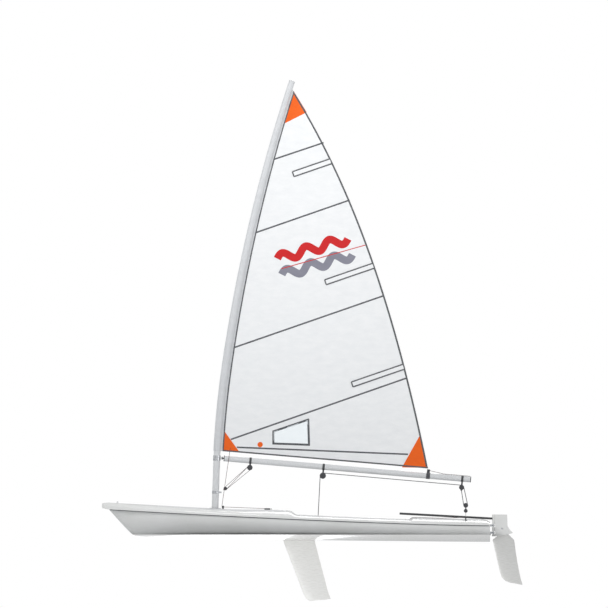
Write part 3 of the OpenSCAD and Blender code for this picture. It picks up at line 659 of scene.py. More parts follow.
def transom_plate():
    """Flat transom 12 mm thick, its outline the hull section, its outer edge rounded over by 4 mm."""
    rows = []
    for x, inset in ((0, 4.0), (0.6, 1.6), (3, 0.0), (12, 0.0)):
        line = hull_line(np.array([TRANSOM + 3.0]), inset)[0]
        line[:, 0] = TRANSOM + x
        rows.append(line)
    return put(closed_sections("transom", np.stack(rows)), GELCOAT, "hull_body")


def deck_moulding():
    """Deck: each section goes over the crown, round the gunwale lip and back under, with its openings
    cut."""
    x = np.concatenate(
        [
            TRANSOM + 90 * np.linspace(0, 1, 16) ** 1.5,
            np.linspace(TRANSOM + 98, -1282, 44),
            np.linspace(-1278, -1242, 13),
            np.linspace(-1228, -20, 60),
            np.linspace(-16, 76, 24),
            np.linspace(86, 1800, 84),
            NOSE - 0.4 - 305 * (1 - np.linspace(0, 1, 44)[1:]) ** 1.9,
        ]
    )
    angle = np.linspace(0, np.pi, 89)
    share = np.sign(np.cos(angle)) * np.abs(np.cos(angle)) ** (2 / 3)
    b = deck_half(x)
    y = b[:, None] * share[None]
    z = deck_z(x[:, None], y)
    under = np.minimum(hull_half(x) * (x < STEM - 12), b - 3)
    base, drop = sheer(x), LIP * np.clip((NOSE - x) / 60, 0.2, 1)
    lip = np.stack([b, b - 2.5 * (b > 4), np.maximum(under + 1.5, b * 0.4), np.maximum(under - 5, b * 0.3)], -1)
    lip_z = np.stack([base - drop * 0.75, base - drop, base - drop, base - 2], -1)
    y = np.concatenate([y, -lip, lip[:, ::-1]], 1)
    z = np.concatenate([z, lip_z, lip_z[:, ::-1]], 1)
    deck = closed_sections("deck_moulding", np.stack([np.broadcast_to(x[:, None], y.shape), y, z], -1))
    well = rounded_loop(WELL_BACK - 3, WELL_FRONT + 3, WELL_HALF + 3, WELL_CORNER + 3, 96)[0]
    bay = rounded_loop(BAY_BACK - 2, BAY_FRONT + 2, BAY_HALF + 2, 14, 48)[0]
    turn = round_turn(48)
    hole = np.column_stack([MAST_X - 9 + 50 * np.cos(turn), 50 * np.sin(turn)])
    tools = [prism("tool", outline, low, 400) for outline, low in ((well, -60), (bay, 60), (hole, 60))]
    deck = cut(deck, *tools)
    return put(tread(deck), GELCOAT, "hull_body", ("deck", "cockpit_liner"))


def tread(made):
    """Marks the grit panels of the decks, away from their edges, and of the sole, as a value on each
    point."""
    co = np.zeros(len(made.data.vertices) * 3)
    made.data.vertices.foreach_get("co", co)
    x, y, z = co.reshape(-1, 3).T / MM
    out = np.abs(y)
    edge = deck_half(x) - out
    side_panel = (x > -1180) & (x < -60) & (out > WELL_HALF + 34) & (edge > 55)
    fore_panel = (x > 110) & (x < 1500) & (out > 96) & (edge > 75)
    aft_panel = (x < -1320) & (x > -2000) & (out > 60) & (edge > 75)
    in_well = (x < WELL_FRONT - 50) & (x > WELL_BACK + 50) & (out < WELL_HALF - 45)
    sole_panel = (z < SOLE + 4) & (z > 0) & in_well
    mark = made.data.attributes.new("tread", "FLOAT", "POINT")
    mark.data.foreach_set("value", (side_panel | fore_panel | aft_panel | sole_panel).astype(np.float32))
    return made


def swept_rows(loop, ways, profile):
    """Rows swept round a loop: each profile point is an outward step and a height, or a height above the
    deck there."""
    rows = []
    for out, height, over_deck in profile:
        p = loop + out * ways
        z = deck_z(p[:, 0], p[:, 1]) + height if over_deck else np.full(len(p), float(height))
        rows.append(np.column_stack([p, z]))
    return rows


RIM = [(9, -4, 1), (9.5, 0.2, 1), (8, 1.5, 1), (4.5, 2.4, 1), (1.6, 1.4, 1), (0.3, -1.6, 1), (0, -7, 1)]
FILLET, TUB_WALL = 30, 6


def well_tub():
    """Cockpit tub: a lapped rim, upright walls and a fillet swept round the well, closed by the flat
    sole."""
    loop, ways = rounded_loop(WELL_BACK, WELL_FRONT, WELL_HALF, WELL_CORNER, 260)
    a = np.linspace(0, np.pi / 2, 9)
    fillet = [(-FILLET * (1 - math.cos(t)), SOLE + FILLET * (1 - math.sin(t)), 0) for t in a]
    inside = swept_rows(loop, ways, RIM + fillet)
    outside = swept_rows(loop, ways, [(-24, SOLE - TUB_WALL, 0), (5, SOLE + 24, 0), (5, -12, 1)])
    centre = np.array([(WELL_FRONT + WELL_BACK) / 2, 0.0, 0.0])
    floor = []
    for share in np.linspace(0.94, 0, 20):
        row = centre + (inside[-1] - centre) * [share, share, 0]
        row[:, 2] = SOLE
        floor.append(row)
    under = [r + [0, 0, -TUB_WALL] for r in floor[::-1]]
    rows = np.stack(under + outside + inside + floor)
    tub = build("cockpit_tub", rows, quads(len(rows), len(loop), wrap_cols=True))
    return put(tread(tub), GELCOAT, "hull_body")


def case_tub():
    """Daggerboard recess and case: a lapped rim and walls, a floor running in to the slot, and the slot's
    walls."""
    count = 160
    loop, ways = rounded_loop(BAY_BACK, BAY_FRONT, BAY_HALF, 12, count)
    mouth, out = rounded_loop(-SLOT_HALF, SLOT_HALF, SLOT_WIDE, 8, count)
    corner = [(0, BAY_FLOOR + 6, 0), (-1.8, BAY_FLOOR + 1.8, 0), (-6, BAY_FLOOR, 0)]

    def slot_row(grow, level):
        """Row round the slot at a level, or where the level is under water on the keel line, found in three
        rounds."""
        x, y = (mouth + grow * out).T
        height = np.full(count, float(level))
        place = in_case(x, y, (height + x * math.sin(RAKE)) / math.cos(RAKE))
        for _ in range(3 if level < 0 else 0):
            height = keel(place[:, 0]) + 1.0
            place = in_case(x, y, (height + x * math.sin(RAKE)) / math.cos(RAKE))
        return place

    slot = [slot_row(0, BAY_FLOOR), slot_row(0, -70), slot_row(4.5, -70), slot_row(4.5, BAY_FLOOR - 5)]
    outside = swept_rows(loop, ways, [(4, BAY_FLOOR - 5, 0), (4, -12, 1)])
    rows = swept_rows(loop, ways, RIM + corner) + slot + outside
    case = build("board_case", np.stack(rows), quads(len(rows), count, wrap_rows=True, wrap_cols=True))
    return put(case, GELCOAT, "hull_body")


def gunwale_beads():
    """Rubber bead under the gunwale lip on each side: a circle carried along the hull's top edge, dark grey so
    that it also paints a shade line under the lip.
    """
    bow = 1500 + (STEM - 30 - 1500) * np.linspace(0, 1, 60)[1:]
    x = np.concatenate([np.linspace(TRANSOM + 14, 1500, 150), bow])
    for side, name in ((1, "port"), (-1, "starboard")):
        path = np.stack([x, side * (hull_half(x) + 1.0), sheer(x) - LIP - 3], -1)
        put(tube(f"gunwale_bead_{name}", path, 4.5), SHADE_LINE_RUBBER, "hull_body")


hull_skin()
transom_plate()
deck_moulding()
gunwale_beads()
well_tub()
case_tub()

# ---------------------------------------------------------------- mast line and sail surface

STRAIGHT, LOWER_TOP, HEAD_S, SLEEVE_FOOT = 740.0, 1814.0, 4938.0, 912.0
LOWER_BEND, UPPER_BEND = math.radians(6.1), math.radians(3.1) / 1000
LOWER_R = (LOWER_TOP - STRAIGHT) / LOWER_BEND
UPPER_R = 1 / UPPER_BEND
MASTHEAD = 5036.0


def lean_at(s):
    """Lean of the mast, in radians: straight foot, even bend of the lower mast, then of the upper mast."""
    lower = LOWER_BEND * np.clip((s - STRAIGHT) / (LOWER_TOP - STRAIGHT), 0, 1)
    return LEAN + lower + UPPER_BEND * np.maximum(0, s - LOWER_TOP)


def mast_at(s):
    """Mast axis: a line from the step, then two arcs that meet with the same lean."""
    s = np.asarray(s, float)
    a = lean_at(s)
    arm = np.array([math.cos(LEAN), math.sin(LEAN)])
    foot = np.array([MAST_X - STRAIGHT * math.sin(LEAN), STRAIGHT * math.cos(LEAN)])
    low = foot - LOWER_R * arm
    top_lean = LEAN + LOWER_BEND
    high = low + (LOWER_R - UPPER_R) * np.array([math.cos(top_lean), math.sin(top_lean)])
    turn = np.stack([np.cos(a), np.sin(a)], -1)
    line = np.stack([MAST_X - s * math.sin(LEAN), s * math.cos(LEAN)], -1)
    bent = np.where((s <= LOWER_TOP)[..., None], low + LOWER_R * turn, high + UPPER_R * turn)
    return np.where((s <= STRAIGHT)[..., None], line, bent)


def behind_mast(s, d):
    """Point at a distance square behind the mast axis."""
    a = lean_at(s)
    return mast_at(s) - np.asarray(d)[..., None] * np.stack([np.cos(a), np.sin(a)], -1)


def sleeve_r(s):
    return mix(42.0, 34.0, np.clip((s - 1900) / 3000, 0, 1))


CLEW = np.array([-1439.0, 719.3])
HEAD = behind_mast(np.array(HEAD_S), sleeve_r(HEAD_S) + 12)
LEECH_HANDLE = 1450
LUFF_SCALE = 4200


def luff(v):
    s = mix(SLEEVE_FOOT, HEAD_S, np.asarray(v, float))
    return behind_mast(s, sleeve_r(s) + 0.3)


def leech(v):
    """Cubic curve from the clew to the head, with a handle of the same length at each end."""
    t = np.asarray(v, float)[..., None]
    a, d = CLEW, HEAD
    b, c = a + LEECH_HANDLE * np.array([0.2, 0.98]), d + LEECH_HANDLE * np.array([-0.528, -0.849])
    return (1 - t) ** 3 * a + 3 * t * (1 - t) ** 2 * b + 3 * t * t * (1 - t) * c + t**3 * d


def pleats(out, up, reach, height, count):
    """Small folds that fan from a corner: a sine of the bearing, tallest one reach away and fading further
    out."""
    away = np.hypot(out, up)
    return height * np.exp(-away / reach) * (away / reach) * np.sin(count * np.arctan2(up, out + 1))


def belly(u, v):
    """How far the cloth stands to port: a smooth hollow to starboard, small pulls along the sleeve, pleats
    at the clew and the tack, and flutter at the leech."""
    chord = np.linalg.norm(leech(v) - luff(v), axis=-1)
    u = np.clip(u, 0, 1.03)
    hollow = -0.045 * chord * np.sin(np.pi * np.minimum(u, 1) ** 0.8)
    pulls = 3.2 * np.exp(-u / 0.07) * u / 0.07 * np.sin(2 * np.pi * 17 * v + 3 * np.sin(9 * v))
    fan = pleats((1 - u) * chord, v * LUFF_SCALE, 420, 4.0, 11)
    fold = pleats(u * chord, v * LUFF_SCALE, 260, 3.0, 9)
    flutter = 2.0 * np.clip((u - 0.9) / 0.1, 0, 1) ** 2 * np.sin(2 * np.pi * 6.5 * v) * np.sin(np.pi * v)
    return hollow + pulls + fan + fold + flutter


def sail_surface(u, v, off):
    """Points of the sail: u of the way from luff to leech on a straight line, plus the belly and an offset
    to port."""
    a, b = luff(v), leech(v)
    p = a + (b - a) * np.asarray(u)[..., None]
    return np.stack([p[..., 0], belly(u, v) + off, p[..., 1]], -1)


def on_sail(xz, off):
    """The sail's surface at X, Z points: halves the interval of v until the luff-to-leech line meets each
    point."""
    xz = np.asarray(xz, float)
    low, high = np.full(xz.shape[:-1], -0.02), np.full(xz.shape[:-1], 1.0)
    for _ in range(36):
        v = (low + high) / 2
        a, b = luff(v), leech(v)
        side = (b - a)[..., 0] * (xz - a)[..., 1] - (b - a)[..., 1] * (xz - a)[..., 0]
        low, high = np.where(side < 0, v, low), np.where(side < 0, high, v)
    way = b - a
    u = ((xz - a) * way).sum(-1) / (way * way).sum(-1)
    return np.stack([xz[..., 0], belly(u, v) + off, xz[..., 1]], -1)


def cloth_piece(name, grid, thick, material):
    """Thin closed cloth: a grid of points on the sail, once on each side of it, joined round the edge. Its
    UV map is in metres: X and Z, or for tape the way along it and across it from its middle."""
    flat = grid
    if material == TAPE:
        middle = grid.mean(1)
        run = np.concatenate([[0], np.cumsum(np.linalg.norm(np.diff(middle, axis=0), axis=1))])
        half = np.sign(np.arange(grid.shape[1]) - (grid.shape[1] - 1) / 2)
        out = np.linalg.norm(grid - middle[:, None], axis=-1) * half
        flat = np.stack(np.broadcast_arrays(run[:, None], out), -1)
    made = thin_solid(name, on_sail(grid, thick / 2), on_sail(grid, -thick / 2), flat)
    return put(made, material, "rig_body")


def thin_solid(name, front, back, flat, skip=None):
    """Closed sheet between two grids of the same size, without the cells marked to be skipped. Both sides
    take the flat points, in metres, as their UV map."""
    rows, cols = front.shape[:2]
    keep = np.ones((rows - 1, cols - 1), bool) if skip is None else ~skip
    number = np.arange(rows * cols).reshape(rows, cols)
    cells = np.stack([number[:-1, :-1], number[:-1, 1:], number[1:, 1:], number[1:, :-1]], -1)[keep]
    far = rows * cols
    edges = np.concatenate([cells[:, [k, (k + 1) % 4]] for k in range(4)])
    key = edges.min(1).astype(np.int64) * far * 2 + edges.max(1)
    _, where, count = np.unique(key, return_index=True, return_counts=True)
    rim = edges[where[count == 1]]
    walls = np.column_stack([rim[:, 0], rim[:, 0] + far, rim[:, 1] + far, rim[:, 1]])
    faces = cells.tolist() + (cells[:, ::-1] + far).tolist() + walls.tolist()
    uv = np.concatenate([np.asarray(flat).reshape(-1, 2)] * 2) * MM
    return build(name, np.concatenate([front.reshape(-1, 3), back.reshape(-1, 3)]), faces, uv, crisp=60)


def strip(start, end, width, step=12.0, across=5):
    """Grid of X, Z points: a straight band from start to end with its width across it."""
    return band(resample([start, end], step), width, across)


def band(line, width, across=5):
    """Grid of X, Z points: a band of even width along a line, square to it."""
    way = unit(np.gradient(line, axis=0))
    side = np.column_stack([-way[:, 1], way[:, 0]])
    reach = np.linspace(-width / 2, width / 2, across)
    return line[:, None] + reach[None, :, None] * side[:, None]


def corner_fill(a, b, c, rows=24):
    """Grid of X, Z points over a triangle, its rows running from the side a-b to the corner c."""
    a, b, c = (np.array(p, float) for p in (a, b, c))
    s, t = np.meshgrid(np.linspace(0, 1, rows), np.linspace(0, 0.985, rows), indexing="ij")
    base = a + (b - a) * s[..., None]
    return base + (c - base) * t[..., None]


# Sail plan, as X, Z points: the window corners and the seams between cloths
WINDOW = np.array([(247, 992), (247, 1124), (-133, 1252), (-141, 978)], float)
SEAMS = [
    ((265, 4081), (-301, 4271)),
    ((459, 3283), (-584, 3645)),
    ((693, 2031), (-953, 2602)),
    ((711, 1036), (-1213, 1708)),
    ((646, 951), (-1221, 874)),
]
SEAM_WIDTH, HEM, FOOT_HEM, LUFF_SEAM, FRAME_WIDTH, FRAME_LAP, EDGE_WIDTH = 17.0, 20, 16, 15, 22, 9, 14.0


def inside(points, outline):
    """Whether X, Z points lie within a four-cornered outline."""
    middle = outline.mean(0)
    within = np.ones(points.shape[:-1], bool)
    for p, q in zip(outline, np.roll(outline, -1, 0)):
        way = (q - p) / np.linalg.norm(q - p)
        normal = np.array([-way[1], way[0]])
        within &= (points - p) @ normal * np.sign(normal @ (middle - p)) > 0
    return within


def sail_cloth():
    """The sail: a fine grid over the surface, with the window left out, closed 1.2 mm thick."""
    u, v = np.meshgrid(np.linspace(0, 1, 101) ** 1.15, np.linspace(0, 1, 331), indexing="ij")
    front, back = sail_surface(u, v, 0.6), sail_surface(u, v, -0.6)
    centre = (front[:-1, :-1] + front[1:, 1:])[..., [0, 2]] / 2
    cloth = thin_solid("sail_cloth", front, back, front[..., [0, 2]], inside(centre, WINDOW))
    return put(cloth, CLOTH, "rig_body", ("sail",))


def hems():
    """Folded hems along the leech and the foot, the seam along the luff, and the frame of the window."""
    v = np.linspace(0.0, 1, 400)
    edge = leech(v)
    inward = luff(v) - edge
    chord = np.linalg.norm(inward, axis=1)[:, None]
    width = np.minimum(HEM, 0.8 * chord)
    grid = edge[:, None] + np.linspace(0, 1, 5)[None, :, None] * (inward / chord * width)[:, None]
    made = [cloth_piece("leech_hem", grid, 3.0, TAPE)]
    aft = -inward / chord
    middle = luff(v) + np.minimum(22, 0.4 * chord) * aft
    width = np.minimum(LUFF_SEAM, 0.4 * chord)
    grid = middle[:, None] + np.linspace(-0.5, 0.5, 4)[None, :, None] * (width * aft)[:, None]
    made.append(cloth_piece("luff_seam", grid, 3.0, TAPE))
    foot = resample([luff(0.0), leech(0.0)], 12)
    grid = foot[:, None] + np.linspace(0, FOOT_HEM, 4)[None, :, None] * np.array([0, 1.0])
    made.append(cloth_piece("foot_hem", grid, 3.0, TAPE))
    for k, (p, q) in enumerate(zip(WINDOW, np.roll(WINDOW, -1, 0))):
        lap = FRAME_LAP * ((q - p) / np.linalg.norm(q - p))
        side = strip(p - lap, q + lap, FRAME_WIDTH)
        made.append(cloth_piece(f"window_frame_{k + 1}", side, 3.4 + 0.1 * k, TAPE))
    return made


def seams():
    """Overlapped seams between the cloths of the sail, each a raised band."""
    return [cloth_piece(f"seam_{k + 1}", strip(a, b, SEAM_WIDTH), 2.2, TAPE) for k, (a, b) in enumerate(SEAMS)]

PATCHES = {
    "head": ((143, 4471), (-117, 4602), (24, 4832)),
    "tack": ((790, 1140), (612, 894), (806, 920)),
    "clew": ((-1358, 1096), (-1154, 731), (-1436, 727)),
}
DOT_X, DOT_Z, DOT_R = 391, 980, 29


def patches():
    """Corner reinforcements at head, tack and clew, and a round mark above the tack: a square grid drawn to
    a disc."""
    made = [cloth_piece(f"{name}_patch", corner_fill(*spots), 2.8, ORANGE) for name, spots in PATCHES.items()]
    a, b = np.meshgrid(np.linspace(-1, 1, 15), np.linspace(-1, 1, 15), indexing="ij")
    x, z = DOT_X + DOT_R * a * np.sqrt(1 - b * b / 2), DOT_Z + DOT_R * b * np.sqrt(1 - a * a / 2)
    made.append(cloth_piece("tack_dot", np.stack([x, z], -1), 2.6, ORANGE))
    return made


MARK_SLOPE, MARK_LENGTH, WAVE_HEIGHT, WAVE_LENGTH, WAVE_WIDTH = math.radians(15.8), 800, 46, 267, 84.0
MARK_START = np.array([172.0, 2893.0])


def sail_mark():
    """Generic mark: a red wave over a grey one, each a band along a sine, and a thin red line aft to the
    leech."""
    way = np.array([-math.cos(MARK_SLOPE), math.sin(MARK_SLOPE)])
    up = np.array([math.sin(MARK_SLOPE), math.cos(MARK_SLOPE)])
    d = np.linspace(0, MARK_LENGTH, 121)
    swing = WAVE_HEIGHT * np.sin(2 * np.pi * d / WAVE_LENGTH)
    made = []
    for name, lift, material in (("red", 118.0, RED), ("grey", -62.0, SILVER)):
        line = MARK_START + d[:, None] * way + (lift + swing)[:, None] * up
        made.append(cloth_piece(f"mark_wave_{name}", band(line, WAVE_WIDTH, 9), 2.4, material))
    made.append(cloth_piece("mark_line", strip((160, 2897), (-757, 3155), 9.0, across=3), 2.6, RED))
    return made


POCKET_TILT, POCKET_WIDTH, POCKET_ACROSS = math.radians(19), 56, 17


def batten_pockets():
    """Batten pockets: bands that slope down forward from the leech, bulged to port by the batten, with
    taped edges."""
    made = []
    way = np.array([math.cos(POCKET_TILT), -math.sin(POCKET_TILT)])
    bulge = 1.4 + 2.6 * np.sqrt(np.clip(1 - np.linspace(-1, 1, POCKET_ACROSS) ** 4, 0, 1))
    for name, v, length in (("top", 0.8, 430.0), ("middle", 0.52, 550.0), ("bottom", 0.26, 590.0)):
        end = leech(np.array(v)) + [14, -4]
        grid = strip(end, end + length * way, POCKET_WIDTH, 10, POCKET_ACROSS)
        front = on_sail(grid, 0.6)
        front[..., 1] += bulge
        pocket = thin_solid(f"batten_pocket_{name}", front, on_sail(grid, 0.2), grid)
        made.append(put(pocket, CLOTH, "rig_body", (f"batten_{name}",)))
        for k, line in enumerate((grid[:, 0], grid[:, -1], grid[-1])):
            edge = band(resample(line, 12), EDGE_WIDTH, 3)
            made.append(cloth_piece(f"pocket_edge_{name}_{k + 1}", edge, 9.6 + 0.2 * k, TAPE))
    return made


SLEEVE_WALL, SLEEVE_TAIL, SLEEVE_POINTS = 1.4, 15, 64


def sleeve():
    """Luff sleeve: a teardrop round the mast, a circle whose back is drawn out to a tail on the sail, thin
    and closed at the head by an elliptic cap."""
    cap = MASTHEAD + 5 - 9 * (1 - np.linspace(0, 1, 7)[1:]) ** 2
    s = np.concatenate([np.linspace(SLEEVE_FOOT, MASTHEAD - 4, 240), cap])
    turn = round_turn(SLEEVE_POINTS)
    aft = ((turn - np.pi) ** 2)[None]
    on_luff = (s < HEAD_S)[:, None]
    pull = 0.9 * np.sin(2 * np.pi * s / 210)[:, None] * np.exp(-aft / 0.8)
    a, axis = lean_at(s)[:, None], mast_at(s)
    rows = []
    for inset in (0.0, SLEEVE_WALL):
        past = np.clip((s - MASTHEAD - inset + 4) / (9 - inset), 0, 1)
        close = np.sqrt(np.clip(1 - past**2, 0, 1))[:, None]
        r = (sleeve_r(s) - inset)[:, None] * close
        tail = SLEEVE_TAIL * np.exp(-aft / 0.03) * close * on_luff
        ahead = (r + tail + pull * close * (inset == 0)) * np.cos(turn)[None]
        side = -r * np.sin(turn)[None] * (1 - 0.55 * np.exp(-aft / 0.10) * on_luff)
        rows.append(np.stack([axis[:, :1] + ahead * np.cos(a), side, axis[:, 1:] + ahead * np.sin(a)], -1))
    grid = np.concatenate([rows[0][::-1], rows[1]])
    flat = np.stack(np.broadcast_arrays(turn[None] * 0.038, np.concatenate([s[::-1], s])[:, None] * MM), -1)
    made = build("luff_sleeve_cloth", grid, quads(len(grid), SLEEVE_POINTS, wrap_cols=True), flat, crisp=60)
    return put(made, SLEEVE_CLOTH, "rig_body", ("luff_sleeve",))


sail = sail_cloth()
on_it = hems() + seams() + patches() + sail_mark() + batten_pockets()
sleeve()

# ---------------------------------------------------------------- foils


def foil(name, edges, thick, flat_share, place, body, replaces):
    """Foil between a leading and a trailing edge line: straight chords joined at equal shares of the way
    down, with a streamlined thickness that starts as a flat plate and thins at the tip."""
    share, lead_x, lead_z, trail_x, trail_z = np.array(edges, float).T
    w = np.concatenate([np.linspace(0, 0.97, 90), 0.97 + 0.03 * np.sin(np.linspace(0, np.pi / 2, 9)[1:])])
    a = np.column_stack([np.interp(w, share, lead_x), np.interp(w, share, lead_z)])
    b = np.column_stack([np.interp(w, share, trail_x), np.interp(w, share, trail_z)])
    c = (1 - np.cos(np.linspace(0, np.pi, 41))) / 2
    streamlined = (0.2969 * np.sqrt(c) - 0.126 * c - 0.3516 * c**2 + 0.2843 * c**3 - 0.1036 * c**4) * 10
    plate = np.minimum(1, np.minimum(np.sqrt(c / 0.03), np.sqrt((1 - c) / 0.03)))
    fade = ease((w - flat_share) / 0.18)[:, None]
    tip = np.sqrt(np.clip(1 - ((w - 0.94).clip(0) / 0.06) ** 2, 0.02, 1))[:, None]
    half = thick / 2 * mix(plate[None], (np.maximum(streamlined, 0.05) * (c > 0) * (c < 1))[None], fade) * tip
    chord = a[:, None] + (b - a)[:, None] * c[None, :, None]
    port = np.stack([chord[..., 0], half, chord[..., 1]], -1)
    ring = np.concatenate([port, (port * [1, -1, 1])[:, -2:0:-1]], 1)
    return put(closed_sections(name, place(ring), crisp=50), FOIL, body, replaces)


PIVOT = np.array([-2247.0, 0, 66.0])
BOARD_TOP = 184.6


def rudder_place(ring):
    return ring + PIVOT


def board_place(ring):
    """Board axes to the boat's, the top trimmed level under its head."""
    x, y, z = np.moveaxis(ring, -1, 0)
    return in_case(x, y, np.minimum(z, (BOARD_TOP + x * math.sin(RAKE)) / math.cos(RAKE)))


foil(
    "rudder_foil",
    [
        (0, 14, 52, -14, 52),
        (0.03, 38, 38, -38, 38),
        (0.07, 51, 10, -51, 10),
        (0.11, 52, -24, -52, -24),
        (0.17, 54, -84, -54, -50),
        (0.22, 90, -112, -130, -126),
        (0.26, 103, -126, -136, -165),
        (0.45, 78, -238, -150, -270),
        (0.62, 54, -345, -167, -370),
        (0.80, 30, -455, -188, -485),
        (0.90, 6, -530, -203, -548),
        (0.96, -35, -572, -214, -588),
        (1, -85, -590, -223, -616),
    ],
    18.0,
    0.2,
    rudder_place,
    "rudder_blade_body",
    ("rudder_blade",),
)
foil(
    "daggerboard_foil",
    [
        (0, 163.5, 260, -163.5, 150),
        (0.30, 163.5, 0, -163.5, -20),
        (0.37, 163.5, -60, -163.5, -60),
        (0.60, 151, -270, -152.5, -280),
        (0.80, 139.5, -470, -143, -495),
        (0.93, 131, -625, -135, -660),
        (0.975, 118, -700, -133, -715),
        (1, 88, -733, -137.5, -781),
    ],
    22.0,
    0.36,
    board_place,
    "daggerboard_body",
    ("daggerboard",),
)

# ---------------------------------------------------------------- ropes

BOOM_SLOPE = math.radians(4.9)
BOOM_FRONT = np.array([787.5, 830.2])
MIDDLE_BLOCK, END_BLOCK, BOOM_END = 1092, 2610, 2696
SHEET_R, LINE_R = 4.0, 2.5
TRAVELLER_X, EYE_Y = -1850.0, 480.0


def under_boom(d, drop=0.0):
    """X, Z at a distance along the boom axis and below it, square to it."""
    slope = np.array([math.cos(BOOM_SLOPE), math.sin(BOOM_SLOPE)])
    return BOOM_FRONT - d * slope + drop * np.array([slope[1], -slope[0]])


def arc(centre, radius, start, end, y=0.0, count=12):
    """Points round a sheave in the X, Z plane, from one bearing to another in degrees."""
    t = np.radians(np.linspace(start, end, count))
    return np.column_stack([centre[0] + radius * np.cos(t), np.full(count, y), centre[1] + radius * np.sin(t)])


def rope(name, path, radius, material, body, step=9.0):
    """Rope laid along a path."""
    return put(tube(name, resample(path, step), radius, 10), material, body)


def stretched(name, hull_end, rig_end, radius, material):
    """Taut rope between the hull and the rig, with rings only at its ends so that it stays straight as the
    rig turns."""
    ends = np.array([hull_end, rig_end], float)
    made = tube(name, ends, radius, 12)
    made.data.materials.append(material)
    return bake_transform(made)


def knot(name, centre, size, material, body):
    """Overhand stopper: a trefoil line thickened to the rope's radius."""
    t, turn = round_turn(72), round_turn(10)
    trefoil = np.stack([np.sin(t) + 2 * np.sin(2 * t), np.cos(t) - 2 * np.cos(2 * t), -np.sin(3 * t)], -1)
    path = trefoil * size / 3 + centre
    way = unit(np.roll(path, -1, 0) - np.roll(path, 1, 0))
    out = path - centre
    out = unit(out - way * (out * way).sum(1)[:, None])
    other = np.cross(way, out)
    circle = np.cos(turn)[None, :, None] * out[:, None] + np.sin(turn)[None, :, None] * other[:, None]
    uv = np.stack(np.broadcast_arrays(t[:, None] * size / 300, turn[None] / (2 * np.pi)), -1)
    faces = quads(72, 10, wrap_rows=True, wrap_cols=True)
    made = build(name, path[:, None] + size * 0.42 * circle, faces, uv, 60)
    return put(made, material, body)


def mainsheet():
    """Mainsheet: ratchet block, up to the middle block, aft under the boom, and down and up between the end
    blocks."""
    ratchet, lower = np.array([-262.0, 166.0]), np.array([TRAVELLER_X, 318.0])
    middle, end, becket = under_boom(MIDDLE_BLOCK, 96), under_boom(END_BLOCK, 94), under_boom(END_BLOCK, 124)
    r_mid, r_end, r_low, r_rat = 29.0, 24.0, 22.0, 23.0
    square = 90 + math.degrees(BOOM_SLOPE)
    over = np.concatenate([arc(middle, r_mid, 0, square), arc(end, r_end, square, 176)])
    rope("mainsheet_boom", over, SHEET_R, SHEET_ROPE, "rig_body")
    around = arc(ratchet, r_rat, 0, -165, count=24)
    tail = [(-298, 12, 148), (-318, 34, 118), (-334, 46, 82), (-352, 52, 46), (-384, 60, 28), (-470, 84, 22)]
    rope("mainsheet_ratchet", np.vstack([around, tail]), SHEET_R, SHEET_ROPE, "hull_body")
    knot("mainsheet_stopper", np.array([-486.0, 88, 28.0]), 9.0, SHEET_ROPE, "hull_body")
    under = arc(lower, r_low, 184, 356, count=24)
    rope("mainsheet_lower", under, SHEET_R, SHEET_ROPE, "hull_body")
    knot("mainsheet_becket", np.array([becket[0], 0, becket[1]]), 8.0, SHEET_ROPE, "rig_body")
    taut = {
        "fall": ((ratchet[0] + r_rat, 0, ratchet[1]), (middle[0] + r_mid, 0, middle[1])),
        "aft_part": (under[0], over[-1]),
        "fore_part": (under[-1], (becket[0], 0, becket[1])),
    }
    for name, (hull_end, rig_end) in taut.items():
        stretched(f"mainsheet_{name}", hull_end, rig_end, SHEET_R, SHEET_ROPE)


def over_deck(start, end, lift, count=60):
    """Straight run in plan that keeps at least `lift` above the deck."""
    p = mix(np.array(start, float), np.array(end, float), np.linspace(0, 1, count)[:, None])
    p[:, 2] = np.maximum(p[:, 2], deck_z(p[:, 0], p[:, 1]) + lift)
    return p


def traveller():
    """Traveller: up from each eye to the block on the centreline, and forward from each eye along the deck
    to the cleat."""
    eye_z = float(deck_z(TRAVELLER_X, EYE_Y)) + 31
    across = [(-EYE_Y, eye_z), (-17, 241), (0, 239.5), (17, 241), (EYE_Y, eye_z)]
    rope("traveller_bridle", [(TRAVELLER_X, y, z) for y, z in across], LINE_R, LINE_ROPE, "hull_body")
    for side, name in ((1, "port"), (-1, "starboard")):
        run = over_deck((TRAVELLER_X, side * EYE_Y, eye_z), (-1262, side * 5, 168), 4.5)
        falls = ((-1240, 4, 170), (-1229, 3.2, 163), (-1227, 3, 140), (-1228, 3, 108))
        drop = [(x, side * y, z) for x, y, z in falls]
        rope(f"traveller_tail_{name}", np.vstack([run, drop]), LINE_R, LINE_ROPE, "hull_body")
        knot(f"traveller_knot_{name}", np.array([-1226.0, side * 6, 98]), 5.0, LINE_ROPE, "hull_body")


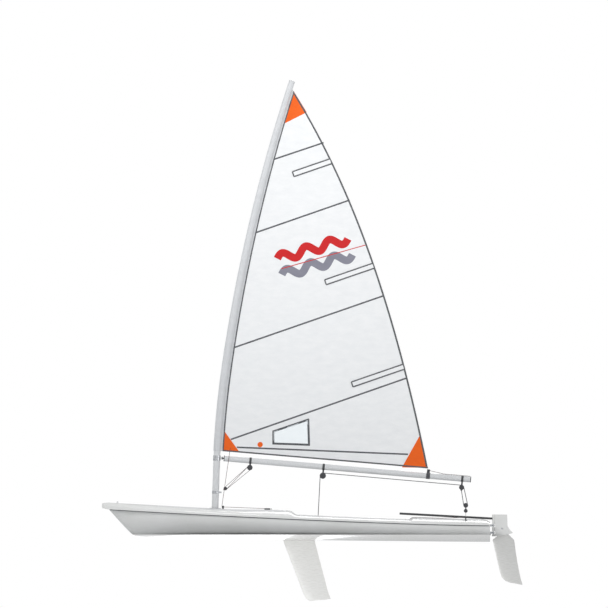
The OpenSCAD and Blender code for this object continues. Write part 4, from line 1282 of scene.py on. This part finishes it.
def vang():
    """Vang: three parts between its blocks under the boom, and a half turn round each block."""
    foot, top = np.array([818.9, 459.7]), np.array([503.1, 729.5])
    way = (top - foot) / np.linalg.norm(top - foot)
    across = np.array([-way[1], way[0]])
    low = foot + 64 * way
    for k, (a, b, y) in enumerate(((14, 22, 5), (-14, -22, -5), (13, -22, 0))):
        ends = np.array([[*(low + a * across), y], [*(top + b * across), y]])
        rope(f"vang_part_{k + 1}", ends[:, [0, 2, 1]], LINE_R, LINE_ROPE, "rig_body", step=60)
    for name, centre, r, turn in (("upper", top, 24.0, 0), ("lower", low, 15.0, 180)):
        bearing = math.degrees(math.atan2(way[1], way[0])) + turn
        path = arc(centre, r, bearing - 90, bearing + 90, 5, 20)
        rope(f"vang_{name}_turn", path, LINE_R, LINE_ROPE, "rig_body", step=6)


DECK_BLOCK_X, CLEAT_X, STOPPER_X = MAST_X - 96, 330, 268.0


def downhaul():
    """Downhaul: from the tack down to the block on the deck, aft to the cleat on the foredeck, and a short
    end."""
    deck = float(deck_z(DECK_BLOCK_X))
    stretched("downhaul_part", (DECK_BLOCK_X + 12, 3, deck + 30), (716, 46, 944), LINE_R, LINE_ROPE)
    run = over_deck((DECK_BLOCK_X - 12, 3, deck + 20), (CLEAT_X, 0, float(deck_z(CLEAT_X)) + 11), 5)
    around = arc((DECK_BLOCK_X, deck + 21), 12, 0, -150, 3, 14)
    rope("downhaul_tail", np.vstack([around, run]), LINE_R, LINE_ROPE, "hull_body")
    stopper = np.array([STOPPER_X, 0, float(deck_z(STOPPER_X)) + 9])
    knot("downhaul_stopper", stopper, 5.0, LINE_ROPE, "hull_body")
    end = over_deck((CLEAT_X, 0, 270), (STOPPER_X + 2, 0, 250), 8, 8)
    rope("downhaul_end", end, LINE_R, LINE_ROPE, "hull_body")


def outhaul():
    """Outhaul: from the clew along the top of the boom to its end."""
    bend, end = under_boom(2400, -36), under_boom(BOOM_END, -35)
    path = [(CLEW[0] - 4, 6, 700.0), (bend[0], 3, bend[1]), (end[0], 0, end[1])]
    rope("outhaul", path, LINE_R, LINE_ROPE, "rig_body")


mainsheet()
traveller()
vang()
downhaul()
outhaul()
